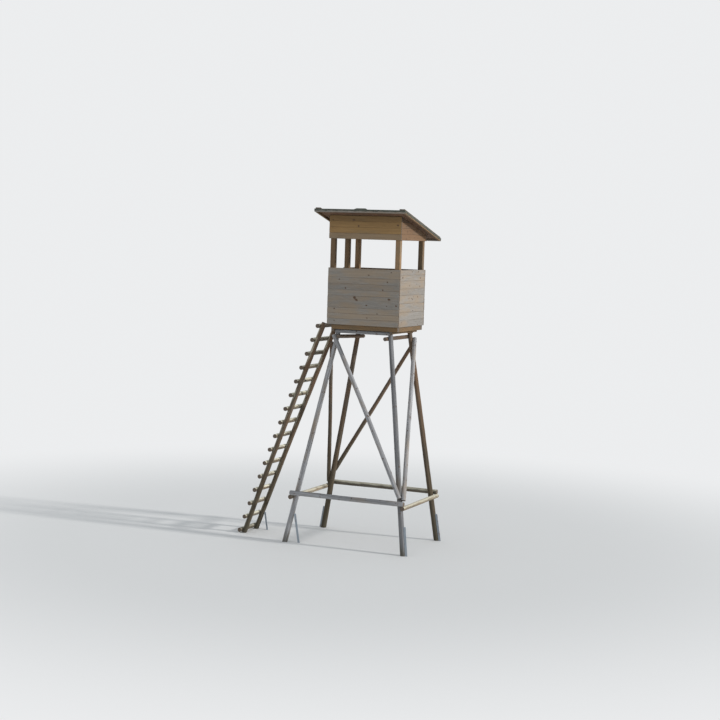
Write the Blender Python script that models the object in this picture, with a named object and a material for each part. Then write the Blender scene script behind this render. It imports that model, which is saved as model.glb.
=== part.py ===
# Raised hunting stand: a small board cabin on four splayed round poles, with a leaning ladder.
# Metres, +Z up. The front looks along -Y, the ladder and the doorway are on the -X side.
# The feet stand on z = 0 and the origin is under the middle of the whole stand.

import math

import bmesh
import bpy
from mathutils import Matrix, Vector

# Clearance between pieces that touch, and facets round a pole and along a bowed one
GAP = 0.0003
POLE_SIDES = 18
BOW_SECTIONS = 6
SHARP_EDGE = math.radians(50)

# Cabin: outer width along X, outer depth along Y, and the heights of its parts
CABIN_WIDTH = 1.50
CABIN_DEPTH = 1.30
FLOOR_HEIGHT = 4.295
DECK_THICKNESS = 0.028
CLADDING = 0.025
POST = 0.094
PARAPET_HEIGHT = 1.09
WINDOW_HEIGHT = 0.56
DOOR_WIDTH = 0.56
BACK_BAND_HEIGHT = 0.114
PLATE_HEIGHT = 0.09

# Floor frame under the boards: squared rims and joists, a door sill and two bearers
RIM_HEIGHT = 0.09
RIM_WIDTH = 0.09
JOIST_COUNT = 2
JOIST_WIDTH = 0.06
SILL_HEIGHT = 0.035
SILL_REACH = 0.06
BEARER_HEIGHT = 0.045
BEARER_WIDTH = 0.06
BEARER_SEAT = 0.006

# Roof: one slope, high at the front, with battens under its edges
ROOF_PITCH = math.radians(14.6)
FRONT_OVERHANG = 0.30
BACK_OVERHANG = 0.30
SIDE_OVERHANG = 0.185
ROOF_BOARD = 0.026
EDGE_BATTEN_HEIGHT = 0.03
EDGE_BATTEN_WIDTH = 0.04
FELT = 0.004
FELT_LIP = 0.030
BATTEN_WIDTH = 0.11
BATTEN_HEIGHT = 0.024
BATTEN_INSET = 0.012

# Legs: how far their heads stand in from the cabin's faces, and how far their feet spread
LEG_INSET_LEFT = 0.19
LEG_INSET_RIGHT = 0.23
LEG_INSET_Y = 0.17
LEG_SPREAD_LEFT = 0.85
LEG_SPREAD_RIGHT = 0.575
LEG_SPREAD_Y = 0.397
LEG_HEAD_DROP = 0.014
LEG_FOOT_RADIUS = 0.054
LEG_TOP_RADIUS = 0.046

# Cross poles, all let into their neighbours by the seat depth
SEAT = 0.012
RING_RADIUS = 0.044
RING_SIDE_Z = 0.894
RING_OVERHANG = 0.11
HEAD_RADIUS = 0.038
HEAD_SIDE_DROP = 0.145
HEAD_LEFT_TILT = 0.04
HEAD_END_GAP = 0.003
HEAD_OVERHANG = 0.12

# Braces, one on each side: how far their heads lie under the rims and their feet over the ring.
# The front and the right one are stouter than the other two.
BRACE_FOOT_RADIUS = 0.041
BRACE_TOP_RADIUS = 0.035
STOUT_FOOT_RADIUS = 0.044
STOUT_TOP_RADIUS = 0.043
BRACE_OVERHANG = 0.08
BACK_BRACE_OVERHANG = 0.02
FRONT_BRACE_DROP = 0.185
FRONT_BRACE_LIFT = 0.255
FRONT_BRACE_BOW = 0.03
RIGHT_BRACE_DROP = 0.235
RIGHT_BRACE_LIFT = 0.215
BACK_BRACE_DROP = 0.29
BACK_BRACE_LIFT = 0.355
LEFT_BRACE_DROP = 0.335
LEFT_BRACE_LIFT = 0.175

# Ladder: its rails stand a little closer at the foot than at the head
RUNG_COUNT = 16
FIRST_RUNG_Z = 0.036
LAST_RUNG_DROP = 0.105
RUNG_RADIUS = 0.043
RUNG_SEAT = 0.016
RUNG_FRONT_OVERHANG = 0.10
RUNG_BACK_OVERHANG = 0.07
RAIL_FOOT_SPACING = 0.51
RAIL_HEAD_SPACING = 0.61
RAIL_FOOT_RADIUS = 0.048
RAIL_TOP_RADIUS = 0.045
RAIL_BOW = 0.012
RAIL_HEAD_RISE = 0.008
LADDER_RUN = 1.663

# Steel angle stakes at the feet, and how far each one's head is above the ground
STAKE_WIDTH = 0.045
STAKE_STEEL = 0.005
STAKE_SEAT = 0.004
STAKE_LEAN = math.radians(10)
FRONT_LEFT_STAKE = 0.57
FRONT_RIGHT_STAKE = 0.54
BACK_LEFT_STAKE = 0.44
BACK_RIGHT_STAKE = 0.54
LADDER_STAKE = 0.36
LADDER_STAKE_WIDTH = 0.035

# Heights and faces that follow from the sizes above
HALF_WIDTH = CABIN_WIDTH / 2
HALF_DEPTH = CABIN_DEPTH / 2
INNER_X = HALF_WIDTH - CLADDING - GAP
INNER_Y = HALF_DEPTH - CLADDING - GAP
RIM_BOTTOM = FLOOR_HEIGHT - RIM_HEIGHT
BEARER_BOTTOM = RIM_BOTTOM - BEARER_HEIGHT
DECK_TOP = FLOOR_HEIGHT + DECK_THICKNESS
PARAPET_TOP = FLOOR_HEIGHT + PARAPET_HEIGHT
BAND_BOTTOM = PARAPET_TOP + WINDOW_HEIGHT
SLOPE = math.tan(ROOF_PITCH)
UNDERSIDE_MIDDLE = BAND_BOTTOM + BACK_BAND_HEIGHT + SLOPE * HALF_DEPTH
DOOR_POST_Y = -INNER_Y + POST + DOOR_WIDTH
DOOR_MIDDLE_Y = DOOR_POST_Y - DOOR_WIDTH / 2
SILL_FACE_X = HALF_WIDTH + SILL_REACH
RING_FRONT_Z = RING_SIDE_Z + 2 * RING_RADIUS - SEAT
HEAD_FRONT_Z = RIM_BOTTOM - HEAD_RADIUS - GAP
HEAD_SIDE_Z = RIM_BOTTOM - HEAD_SIDE_DROP

CORNERS = {
    "front_left": (-1, -1),
    "front_right": (1, -1),
    "back_left": (-1, 1),
    "back_right": (1, 1),
}


def clear_scene():
    for old in list(bpy.data.objects):
        bpy.data.objects.remove(old, do_unlink=True)


def make_material(name, color, roughness, metallic=0.0):
    material = bpy.data.materials.new(name)
    material.use_nodes = True
    shader = material.node_tree.nodes["Principled BSDF"]
    shader.inputs["Base Color"].default_value = (*color, 1.0)
    shader.inputs["Roughness"].default_value = roughness
    shader.inputs["Metallic"].default_value = metallic
    return material


def add_object(name, bm, material):
    bmesh.ops.recalc_face_normals(bm, faces=bm.faces)
    mesh = bpy.data.meshes.new(name)
    bm.to_mesh(mesh)
    bm.free()
    mesh.materials.append(material)
    item = bpy.data.objects.new(name, mesh)
    bpy.context.scene.collection.objects.link(item)
    item.parent = stand
    return item


def make_cutter(item):
    item.hide_render = True
    item.display_type = "WIRE"
    return item


def add_boolean(item, other, operation):
    boolean = item.modifiers.new(operation.lower() + "_" + other.name, "BOOLEAN")
    boolean.operation = operation
    boolean.solver = "EXACT"
    boolean.object = other


def cut(item, *cutters):
    for cutter in cutters:
        add_boolean(item, cutter, "DIFFERENCE")


def join(item, *others):
    for other in others:
        add_boolean(item, make_cutter(other), "UNION")


class Pole:
    """A tapered round pole between two points of its centre line, straight or slightly bowed."""

    def __init__(self, foot, top, foot_radius, top_radius, bow=(0, 0, 0)):
        self.foot = Vector(foot)
        self.top = Vector(top)
        self.foot_radius = foot_radius
        self.top_radius = top_radius
        self.bow = Vector(bow)

    def share_at(self, z):
        return (z - self.foot.z) / (self.top.z - self.foot.z)

    def at(self, z):
        share = self.share_at(z)
        return self.foot.lerp(self.top, share) + self.bow * (4 * share * (1 - share))

    def radius_at(self, z):
        return self.foot_radius + self.share_at(z) * (self.top_radius - self.foot_radius)

    def make(self, name, material, grow=0.0):
        line = self.top - self.foot
        turn = line.to_track_quat("Z", "Y")
        bow = turn.inverted() @ self.bow
        length = line.length + 2 * grow
        sections = BOW_SECTIONS if self.bow.length > 0 else 1
        bm = bmesh.new()
        rings = []
        for step in range(sections + 1):
            share = step / sections
            centre = bow * (4 * share * (1 - share)) + Vector((0, 0, (share - 0.5) * length))
            radius = self.foot_radius + share * (self.top_radius - self.foot_radius) + grow
            circle = bmesh.ops.create_circle(
                bm, segments=POLE_SIDES, radius=radius, matrix=Matrix.Translation(centre)
            )
            rings.append(circle["verts"])
        for lower, upper in zip(rings, rings[1:]):
            for side in range(POLE_SIDES):
                after = (side + 1) % POLE_SIDES
                bm.faces.new((lower[side], lower[after], upper[after], upper[side]))
        bm.faces.new(rings[0])
        bm.faces.new(rings[-1])
        item = add_object(name, bm, material)
        item.location = (self.foot + self.top) / 2
        item.rotation_mode = "QUATERNION"
        item.rotation_quaternion = turn
        item.data.shade_smooth()
        item.data.set_sharp_from_angle(angle=SHARP_EDGE)
        return item


def make_box(name, low, high, material):
    low = Vector(low)
    high = Vector(high)
    bm = bmesh.new()
    bmesh.ops.create_cube(bm, size=1.0)
    bmesh.ops.scale(bm, vec=high - low, verts=bm.verts)
    item = add_object(name, bm, material)
    item.location = (low + high) / 2
    return item


def extrude_outline(name, corners, reach, material):
    """A flat outline pushed along the reach into a solid."""
    bm = bmesh.new()
    face = bm.faces.new([bm.verts.new(corner) for corner in corners])
    grown = bmesh.ops.extrude_face_region(bm, geom=[face])["geom"]
    moved = [part for part in grown if isinstance(part, bmesh.types.BMVert)]
    bmesh.ops.translate(bm, vec=reach, verts=moved)
    return add_object(name, bm, material)


def make_profile(name, outline, low_x, high_x, material):
    """A piece with the same Y and Z outline all along X."""
    half = (high_x - low_x) / 2
    corners = [(-half, y, z) for y, z in outline]
    item = extrude_outline(name, corners, (2 * half, 0, 0), material)
    item.location.x = (low_x + high_x) / 2
    return item


def underside(y):
    """Height of the roof boards' lower face, less the clearance to it."""
    return UNDERSIDE_MIDDLE - SLOPE * y - GAP / math.cos(ROOF_PITCH)


# Legs

def make_legs():
    poles = {}
    items = {}
    cutters = {}
    for corner, (side, face) in CORNERS.items():
        inset = LEG_INSET_LEFT if side < 0 else LEG_INSET_RIGHT
        spread = LEG_SPREAD_LEFT if side < 0 else LEG_SPREAD_RIGHT
        head_x = HALF_WIDTH - inset
        head_y = HALF_DEPTH - LEG_INSET_Y
        top = Vector((side * head_x, face * head_y, RIM_BOTTOM - LEG_HEAD_DROP))
        foot = Vector((side * (head_x + spread), face * (head_y + LEG_SPREAD_Y), 0))
        below = foot + (foot - top).normalized() * LEG_FOOT_RADIUS
        pole = Pole(below, top, LEG_FOOT_RADIUS, LEG_TOP_RADIUS)
        leg = pole.make("leg_" + corner, pole_wood)
        cut(leg, ground)
        poles[corner] = pole
        items[corner] = leg
        cutters[corner] = make_cutter(pole.make("seat_leg_" + corner, pole_wood, GAP))
    return poles, items, cutters


def beside(pole, z, direction, radius):
    """Centre of a second pole that is let into this one by the seat depth."""
    offset = pole.radius_at(z) + radius - SEAT
    return pole.at(z) + Vector(direction) * offset


# Cross poles

def lay_across(name, ends, direction, heights, radii, overhang, bow=(0, 0, 0)):
    """A pole laid against two legs, at one height on the first and another on the second."""
    first = beside(legs[ends[0]], heights[0], direction, radii[0])
    second = beside(legs[ends[1]], heights[1], direction, radii[1])
    reach = (second - first).normalized() * overhang
    pole = Pole(first - reach, second + reach, *radii, bow)
    item = pole.make(name, cross_wood)
    cut(item, leg_cutters[ends[0]], leg_cutters[ends[1]])
    return item, pole


def make_ring():
    radii = (RING_RADIUS, RING_RADIUS)
    sides = []
    for side, sign in (("left", -1), ("right", 1)):
        ends = ("front_" + side, "back_" + side)
        heights = (RING_SIDE_Z, RING_SIDE_Z)
        name = "ring_pole_" + side
        pole = lay_across(name, ends, (sign, 0, 0), heights, radii, RING_OVERHANG)[1]
        sides.append(make_cutter(pole.make("seat_" + name, cross_wood, GAP)))
    for face, sign in (("front", -1), ("back", 1)):
        ends = (face + "_left", face + "_right")
        heights = (RING_FRONT_Z, RING_FRONT_Z)
        name = "ring_pole_" + face
        item = lay_across(name, ends, (0, sign, 0), heights, radii, RING_OVERHANG)[0]
        cut(item, *sides)


def make_head():
    radii = (HEAD_RADIUS, HEAD_RADIUS)
    for side, sign, tilt in (("left", -1, HEAD_LEFT_TILT), ("right", 1, 0)):
        ends = ("front_" + side, "back_" + side)
        heights = (HEAD_SIDE_Z, HEAD_SIDE_Z - tilt)
        lay_across("head_pole_" + side, ends, (-sign, 0, 0), heights, radii, HEAD_OVERHANG)
    low_x = bearer_span("left")[1] + HEAD_END_GAP
    high_x = bearer_span("right")[0] - HEAD_END_GAP
    for face, sign in (("front", -1), ("back", 1)):
        y = beside(legs[face + "_left"], HEAD_FRONT_Z, (0, sign, 0), HEAD_RADIUS).y
        pole = Pole((low_x, y, HEAD_FRONT_Z), (high_x, y, HEAD_FRONT_Z), *radii)
        item = pole.make("head_pole_" + face, cross_wood)
        cut(item, leg_cutters[face + "_left"], leg_cutters[face + "_right"])


# Braces

def make_brace(face, ends, direction, heights, radii, overhang=BRACE_OVERHANG, bow=(0, 0, 0)):
    """A diagonal from its low leg to its high one, its heights counted from the ring and the rims."""
    lift, drop = heights
    levels = (RING_SIDE_Z + lift, RIM_BOTTOM - drop)
    lay_across("brace_" + face, ends, direction, levels, radii, overhang, bow)


def make_braces():
    thin = (BRACE_FOOT_RADIUS, BRACE_TOP_RADIUS)
    stout = (STOUT_FOOT_RADIUS, STOUT_TOP_RADIUS)
    bow = (0, 0, FRONT_BRACE_BOW)
    heights = (FRONT_BRACE_LIFT, FRONT_BRACE_DROP)
    make_brace("front", ("front_right", "front_left"), (0, -1, 0), heights, stout, bow=bow)
    heights = (RIGHT_BRACE_LIFT, RIGHT_BRACE_DROP)
    make_brace("right", ("front_right", "back_right"), (1, 0, 0), heights, stout)
    heights = (BACK_BRACE_LIFT, BACK_BRACE_DROP)
    make_brace("back", ("back_left", "back_right"), (0, 1, 0), heights, thin, BACK_BRACE_OVERHANG)
    heights = (LEFT_BRACE_LIFT, LEFT_BRACE_DROP)
    make_brace("left", ("back_left", "front_left"), (-1, 0, 0), heights, thin)


# Floor

def bearer_span(side):
    """Low and high X of the bearer that is let into the outer sides of the two legs."""
    leg = legs["front_" + side]
    sign = CORNERS["front_" + side][0]
    middle_z = BEARER_BOTTOM + BEARER_HEIGHT / 2
    inner = leg.at(middle_z).x + sign * (leg.radius_at(middle_z) - BEARER_SEAT)
    return tuple(sorted((inner, inner + sign * BEARER_WIDTH)))


def make_floor():
    low_x = bearer_span("left")[0]
    frame = make_box(
        "floor_frame",
        (low_x, -INNER_Y, RIM_BOTTOM),
        (INNER_X, INNER_Y, FLOOR_HEIGHT),
        beam_wood,
    )
    inner_low = low_x + RIM_WIDTH
    inner_high = INNER_X - RIM_WIDTH
    bay = (inner_high - inner_low - JOIST_COUNT * JOIST_WIDTH) / (JOIST_COUNT + 1)
    for number in range(JOIST_COUNT + 1):
        start = inner_low + number * (bay + JOIST_WIDTH)
        hole = make_box(
            "bay_" + str(number),
            (start, -INNER_Y + RIM_WIDTH, RIM_BOTTOM - RIM_HEIGHT),
            (start + bay, INNER_Y - RIM_WIDTH, FLOOR_HEIGHT + RIM_HEIGHT),
            beam_wood,
        )
        cut(frame, make_cutter(hole))
    sill = make_box(
        "sill",
        (-SILL_FACE_X, -INNER_Y, FLOOR_HEIGHT - SILL_HEIGHT),
        (inner_low, INNER_Y, FLOOR_HEIGHT),
        beam_wood,
    )
    bearers = []
    for side in ("left", "right"):
        low, high = bearer_span(side)
        low_corner = (low, -INNER_Y, BEARER_BOTTOM)
        high_corner = (high, INNER_Y, RIM_BOTTOM)
        bearers.append(make_box("bearer_" + side, low_corner, high_corner, beam_wood))
    join(frame, sill, *bearers)
    cut(frame, *leg_cutters.values())
    make_box(
        "floor_deck",
        (-INNER_X, -INNER_Y, FLOOR_HEIGHT + GAP),
        (INNER_X, INNER_Y, DECK_TOP),
        deck_wood,
    )


# Cabin posts and plates

def make_post(name, low_x, low_y, roof_cut):
    foot = DECK_TOP + GAP
    high_y = low_y + POST
    outline = [(low_y, foot), (high_y, foot), (high_y, roof_cut(high_y)), (low_y, roof_cut(low_y))]
    make_profile(name, outline, low_x, low_x + POST, post_wood)


def plate_underside(y):
    return underside(y) - PLATE_HEIGHT - GAP


def make_cabin_frame():
    for corner, (side, face) in CORNERS.items():
        low_x = -INNER_X if side < 0 else INNER_X - POST
        low_y = -INNER_Y if face < 0 else INNER_Y - POST
        make_post("post_" + corner, low_x, low_y, plate_underside)
    make_post("post_door", -INNER_X, DOOR_POST_Y, underside)
    for face, low_y in (("front", -INNER_Y), ("back", INNER_Y - POST)):
        high_y = low_y + POST
        outline = [
            (low_y, underside(low_y) - PLATE_HEIGHT),
            (high_y, underside(high_y) - PLATE_HEIGHT),
            (high_y, underside(high_y)),
            (low_y, underside(low_y)),
        ]
        make_profile("plate_" + face, outline, -INNER_X, INNER_X, post_wood)


# Board walls

def make_wall(name, span_x, low_y, high_y, parapet_low_y):
    """A parapet and the band over the windows, which follows the roof's slope."""
    low = FLOOR_HEIGHT + GAP
    parapet = [(parapet_low_y, low), (high_y, low), (high_y, PARAPET_TOP), (parapet_low_y, PARAPET_TOP)]
    band = [
        (low_y, BAND_BOTTOM),
        (high_y, BAND_BOTTOM),
        (high_y, underside(high_y)),
        (low_y, underside(low_y)),
    ]
    make_profile("parapet_" + name, parapet, *span_x, board_wood)
    make_profile("band_" + name, band, *span_x, board_wood)


def make_walls():
    full_x = (-HALF_WIDTH, HALF_WIDTH)
    inner_face = HALF_DEPTH - CLADDING
    make_wall("front", full_x, -HALF_DEPTH, -inner_face, -HALF_DEPTH)
    make_wall("back", full_x, inner_face, HALF_DEPTH, inner_face)
    make_wall("left", (-HALF_WIDTH, CLADDING - HALF_WIDTH), -INNER_Y, INNER_Y, DOOR_POST_Y)
    make_wall("right", (HALF_WIDTH - CLADDING, HALF_WIDTH), -INNER_Y, INNER_Y, -INNER_Y)


# Roof

def roof_box(name, low, high, material):
    """A box in the roof's own slope, with z = 0 on the boards' lower face."""
    item = make_box(name, low, high, material)
    middle = item.location.copy()
    along = math.cos(ROOF_PITCH)
    fall = math.sin(ROOF_PITCH)
    item.location.y = middle.y * along + middle.z * fall
    item.location.z = UNDERSIDE_MIDDLE - middle.y * fall + middle.z * along
    item.rotation_euler.x = -ROOF_PITCH
    return item


def make_roof():
    half_x = HALF_WIDTH + SIDE_OVERHANG
    front = -(HALF_DEPTH + FRONT_OVERHANG) / math.cos(ROOF_PITCH)
    back = (HALF_DEPTH + BACK_OVERHANG) / math.cos(ROOF_PITCH)
    boards = roof_box(
        "roof_boards",
        (-half_x, front, -EDGE_BATTEN_HEIGHT),
        (half_x, back, ROOF_BOARD),
        board_wood,
    )
    inset = EDGE_BATTEN_WIDTH
    hollow = roof_box(
        "roof_hollow",
        (inset - half_x, front + inset, -2 * EDGE_BATTEN_HEIGHT),
        (half_x - inset, back - inset, 0),
        board_wood,
    )
    cut(boards, make_cutter(hollow))
    felt = roof_box(
        "roof_felt",
        (-half_x - FELT, front - FELT, ROOF_BOARD - FELT_LIP),
        (half_x + FELT, back + FELT, ROOF_BOARD + FELT),
        felt_black,
    )
    inside = roof_box(
        "seat_roof_boards",
        (-half_x - GAP, front - GAP, -ROOF_BOARD),
        (half_x + GAP, back + GAP, ROOF_BOARD + GAP),
        felt_black,
    )
    cut(felt, make_cutter(inside))
    base = ROOF_BOARD + FELT + GAP
    outer = half_x - BATTEN_INSET
    for name, low_x in (("roof_batten_left", -outer), ("roof_batten_right", outer - BATTEN_WIDTH)):
        roof_box(
            name,
            (low_x, front + BATTEN_INSET, base),
            (low_x + BATTEN_WIDTH, back - BATTEN_INSET, base + BATTEN_HEIGHT),
            cross_wood,
        )


# Ladder

def make_rails():
    contact_z = FLOOR_HEIGHT - SILL_HEIGHT / 2
    angle = math.atan2(contact_z, LADDER_RUN)
    contact_x = -SILL_FACE_X - (RAIL_TOP_RADIUS - SEAT / 2) / math.sin(angle)
    sill = make_cutter(make_box(
        "seat_sill",
        (-SILL_FACE_X - GAP, -INNER_Y - GAP, FLOOR_HEIGHT - SILL_HEIGHT - GAP),
        (0, INNER_Y + GAP, FLOOR_HEIGHT + GAP),
        beam_wood,
    ))
    poles = []
    items = []
    for name, side in (("front", -1), ("back", 1)):
        foot = Vector((contact_x - LADDER_RUN, DOOR_MIDDLE_Y + side * RAIL_FOOT_SPACING / 2, 0))
        contact = Vector((contact_x, DOOR_MIDDLE_Y + side * RAIL_HEAD_SPACING / 2, contact_z))
        line = contact - foot
        below = foot - line.normalized() * RAIL_FOOT_RADIUS
        top = contact + line * ((FLOOR_HEIGHT + RAIL_HEAD_RISE - contact_z) / contact_z)
        bow = (-RAIL_BOW * math.sin(angle), 0, RAIL_BOW * math.cos(angle))
        pole = Pole(below, top, RAIL_FOOT_RADIUS, RAIL_TOP_RADIUS, bow)
        rail = pole.make("ladder_rail_" + name, pole_wood)
        cut(rail, ground, sill)
        poles.append(pole)
        items.append(rail)
    return poles, items, angle


def make_rungs(angle):
    outward = Vector((-math.sin(angle), 0, math.cos(angle)))
    cutters = [make_cutter(rail.make("seat_rail", pole_wood, GAP)) for rail in rails]
    rise = (DECK_TOP - LAST_RUNG_DROP - FIRST_RUNG_Z) / (RUNG_COUNT - 1)
    for number in range(RUNG_COUNT):
        z = FIRST_RUNG_Z + number * rise
        offset = outward * (rails[0].radius_at(z) + RUNG_RADIUS - RUNG_SEAT)
        front = rails[0].at(z) + offset - Vector((0, RUNG_FRONT_OVERHANG, 0))
        back = rails[1].at(z) + offset + Vector((0, RUNG_BACK_OVERHANG, 0))
        pole = Pole(front, back, RUNG_RADIUS, RUNG_RADIUS)
        rung = pole.make("rung_" + str(number + 1).zfill(2), cross_wood)
        cut(rung, *cutters)


# Stakes

def stake_outline(width):
    """The angle's section, its heel flange along Y on x = 0 and the other along X."""
    near = -width / 2
    inner = near + STAKE_STEEL
    return [(0, near), (width, near), (width, inner), (STAKE_STEEL, inner), (STAKE_STEEL, -near), (0, -near)]


def make_stake(name, width, height, held):
    """An angle bar from the ground up, let into the pole that it holds."""
    corners = [(x, y, -width) for x, y in stake_outline(width)]
    stake = extrude_outline(name, corners, (0, 0, height + width), stake_steel)
    cut(stake, ground)
    reach = width / 2 + GAP
    seat = make_box("seat_" + name, (-GAP, -reach, -width), (width, reach, height + GAP), stake_steel)
    seat.parent = stake
    cut(held, make_cutter(seat))
    return stake


def stand_stake(stake, pole, height):
    """Leaning to the pole's inner side, with its head against it."""
    head_z = height * math.cos(STAKE_LEAN)
    head = pole.at(head_z)
    lean = (pole.top - pole.foot).normalized()
    reach = pole.radius_at(head_z) / math.sqrt(1 - lean.x**2) - STAKE_SEAT
    stake.location = (head.x + reach + height * math.sin(STAKE_LEAN), head.y, 0)
    stake.rotation_euler.y = -STAKE_LEAN


def lay_stake(stake, pole, side):
    """Along the pole's outer side, from the ground up."""
    axis = (pole.top - pole.foot).normalized()
    outward = Vector((side, 0, 0))
    outward = (outward - axis * outward.dot(axis)).normalized()
    turned = Matrix((outward, axis.cross(outward), axis)).transposed()
    stake.location = pole.at(0) + outward * (pole.foot_radius - STAKE_SEAT)
    stake.rotation_mode = "QUATERNION"
    stake.rotation_quaternion = turned.to_quaternion()


def make_stakes():
    stake = make_stake("stake_front_left", STAKE_WIDTH, FRONT_LEFT_STAKE, leg_items["front_left"])
    stand_stake(stake, legs["front_left"], FRONT_LEFT_STAKE)
    for corner, height in (
        ("front_right", FRONT_RIGHT_STAKE),
        ("back_left", BACK_LEFT_STAKE),
        ("back_right", BACK_RIGHT_STAKE),
    ):
        stake = make_stake("stake_" + corner, STAKE_WIDTH, height, leg_items[corner])
        lay_stake(stake, legs[corner], CORNERS[corner][0])
    stake = make_stake("stake_ladder", LADDER_STAKE_WIDTH, LADDER_STAKE, rail_items[1])
    stand_stake(stake, rails[1], LADDER_STAKE)


def make_ground_cutter():
    """A box that takes in all that would reach under the ground."""
    reach = 2 * (CABIN_WIDTH + CABIN_DEPTH + LADDER_RUN + LEG_SPREAD_LEFT)
    box = make_box("ground_cutter", (-reach, -reach, -reach), (reach, reach, 0), beam_wood)
    return make_cutter(box)


def centre_on_bounds():
    """Move the whole stand so that the origin is under the middle of its bounding box."""
    bpy.context.view_layer.update()
    graph = bpy.context.evaluated_depsgraph_get()
    points = []
    for item in stand.children:
        if not item.hide_render:
            solid = item.evaluated_get(graph)
            points += [item.matrix_world @ vertex.co for vertex in solid.data.vertices]
    xs = [point.x for point in points]
    ys = [point.y for point in points]
    stand.location = (-(min(xs) + max(xs)) / 2, -(min(ys) + max(ys)) / 2, 0)


clear_scene()
stand = bpy.data.objects.new("stand", None)
bpy.context.scene.collection.objects.link(stand)

pole_wood = make_material("weathered_pole_wood", (0.21, 0.19, 0.17), 0.85)
cross_wood = make_material("cross_pole_wood", (0.30, 0.27, 0.22), 0.85)
board_wood = make_material("grey_board_wood", (0.27, 0.24, 0.20), 0.85)
post_wood = make_material("post_wood", (0.22, 0.17, 0.12), 0.85)
beam_wood = make_material("floor_beam_wood", (0.16, 0.12, 0.08), 0.85)
deck_wood = make_material("deck_board_wood", (0.20, 0.16, 0.11), 0.85)
felt_black = make_material("roof_felt", (0.04, 0.05, 0.04), 0.95)
stake_steel = make_material("stake_steel", (0.25, 0.29, 0.33), 0.5, 0.8)

ground = make_ground_cutter()
legs, leg_items, leg_cutters = make_legs()
make_ring()
make_head()
make_braces()
make_floor()
make_cabin_frame()
make_walls()
make_roof()
rails, rail_items, ladder_angle = make_rails()
make_rungs(ladder_angle)
make_stakes()
centre_on_bounds()
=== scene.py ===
# %% [markdown]
# # A raised hunting stand, dressed for a picture
# The packed model gives every pole, beam and panel its place. This lesson builds the real
# surface on top of it: poles with knots and drying cracks, walls of separate boards, a felt roof
# that buckles, and rusty steel at the feet. The frame is loaded first, because all that follows
# is placed from its boxes, and its own box is kept to compare with at the end.

# %% Load the frame
import math
import bpy
import numpy as np
from mathutils import Matrix, Vector


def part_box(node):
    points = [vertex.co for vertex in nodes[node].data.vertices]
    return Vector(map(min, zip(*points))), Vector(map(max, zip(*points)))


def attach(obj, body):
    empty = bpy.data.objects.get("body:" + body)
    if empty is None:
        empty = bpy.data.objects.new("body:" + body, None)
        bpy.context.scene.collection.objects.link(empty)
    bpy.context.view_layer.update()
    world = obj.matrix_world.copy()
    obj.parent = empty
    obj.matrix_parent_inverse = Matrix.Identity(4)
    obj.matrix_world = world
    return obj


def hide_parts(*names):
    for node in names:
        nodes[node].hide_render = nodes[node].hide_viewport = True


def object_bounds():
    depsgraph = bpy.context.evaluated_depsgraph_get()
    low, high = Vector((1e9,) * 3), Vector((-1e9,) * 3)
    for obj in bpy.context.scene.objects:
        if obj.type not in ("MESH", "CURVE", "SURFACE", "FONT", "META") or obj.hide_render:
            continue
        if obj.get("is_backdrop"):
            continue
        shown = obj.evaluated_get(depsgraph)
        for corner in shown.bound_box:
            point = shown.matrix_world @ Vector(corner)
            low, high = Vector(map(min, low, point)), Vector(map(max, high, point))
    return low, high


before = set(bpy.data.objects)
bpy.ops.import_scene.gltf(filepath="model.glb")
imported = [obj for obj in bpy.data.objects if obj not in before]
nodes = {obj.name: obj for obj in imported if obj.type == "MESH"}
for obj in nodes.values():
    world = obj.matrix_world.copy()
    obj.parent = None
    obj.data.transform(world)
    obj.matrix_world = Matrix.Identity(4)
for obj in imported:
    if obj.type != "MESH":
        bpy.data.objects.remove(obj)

cad_low, cad_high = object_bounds()
scene = bpy.context.scene
print("frame of", len(nodes), "nodes,", [round(v, 3) for v in cad_high - cad_low], "m")

# %% [markdown]
# The cabin's own boxes give the numbers that the rest hangs on: its middle, its walls' faces,
# the height of the floor, the wall tops and the slope of the roof. They could be typed in, but
# then a change in the model would leave the looks behind.

# %% Measure the cabin
wall_low, wall_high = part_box("parapet_front")
back_low, back_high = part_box("parapet_back")
middle_x = (wall_low.x + wall_high.x) / 2
middle_y = (wall_low.y + back_high.y) / 2
half_width = (wall_high.x - wall_low.x) / 2
half_depth = (back_high.y - wall_low.y) / 2
cladding = wall_high.y - wall_low.y
floor_z, parapet_z = wall_low.z, wall_high.z
band_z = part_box("band_front")[0].z


def roof_slope():
    """The roof's pitch, from the felt's large upper faces."""
    normal = Vector()
    for face in nodes["roof_felt"].data.polygons:
        if face.normal.z > 0.9:
            normal += face.normal * face.area
    return math.atan2(normal.y, normal.z)


pitch = roof_slope()
slope = math.tan(pitch)
roof_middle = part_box("band_front")[1].z - slope * half_depth
print("roof pitch", round(math.degrees(pitch), 2), "degrees, floor at", round(floor_z, 3))

# %% [markdown]
# The picture is taken from far off with a long lens, so that the upright edges stay almost
# parallel. The camera stands to the front right, as high as the windows, and is rolled by
# almost two degrees. Its turn, tilt and roll were fitted to the corners of the cabin. They are
# kept as angles here, because a matrix of nine numbers would tell a reader nothing.

# %% Camera
YAW, TILT, ROLL = 0.419, 0.078, 0.031
CAMERA_FROM_CABIN = Vector((11.723, -27.042, 5.895))
PICTURE_WIDTH = 720
FOCAL_SHARE = 1512 / PICTURE_WIDTH
SHIFT = 0.5 / PICTURE_WIDTH


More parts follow.
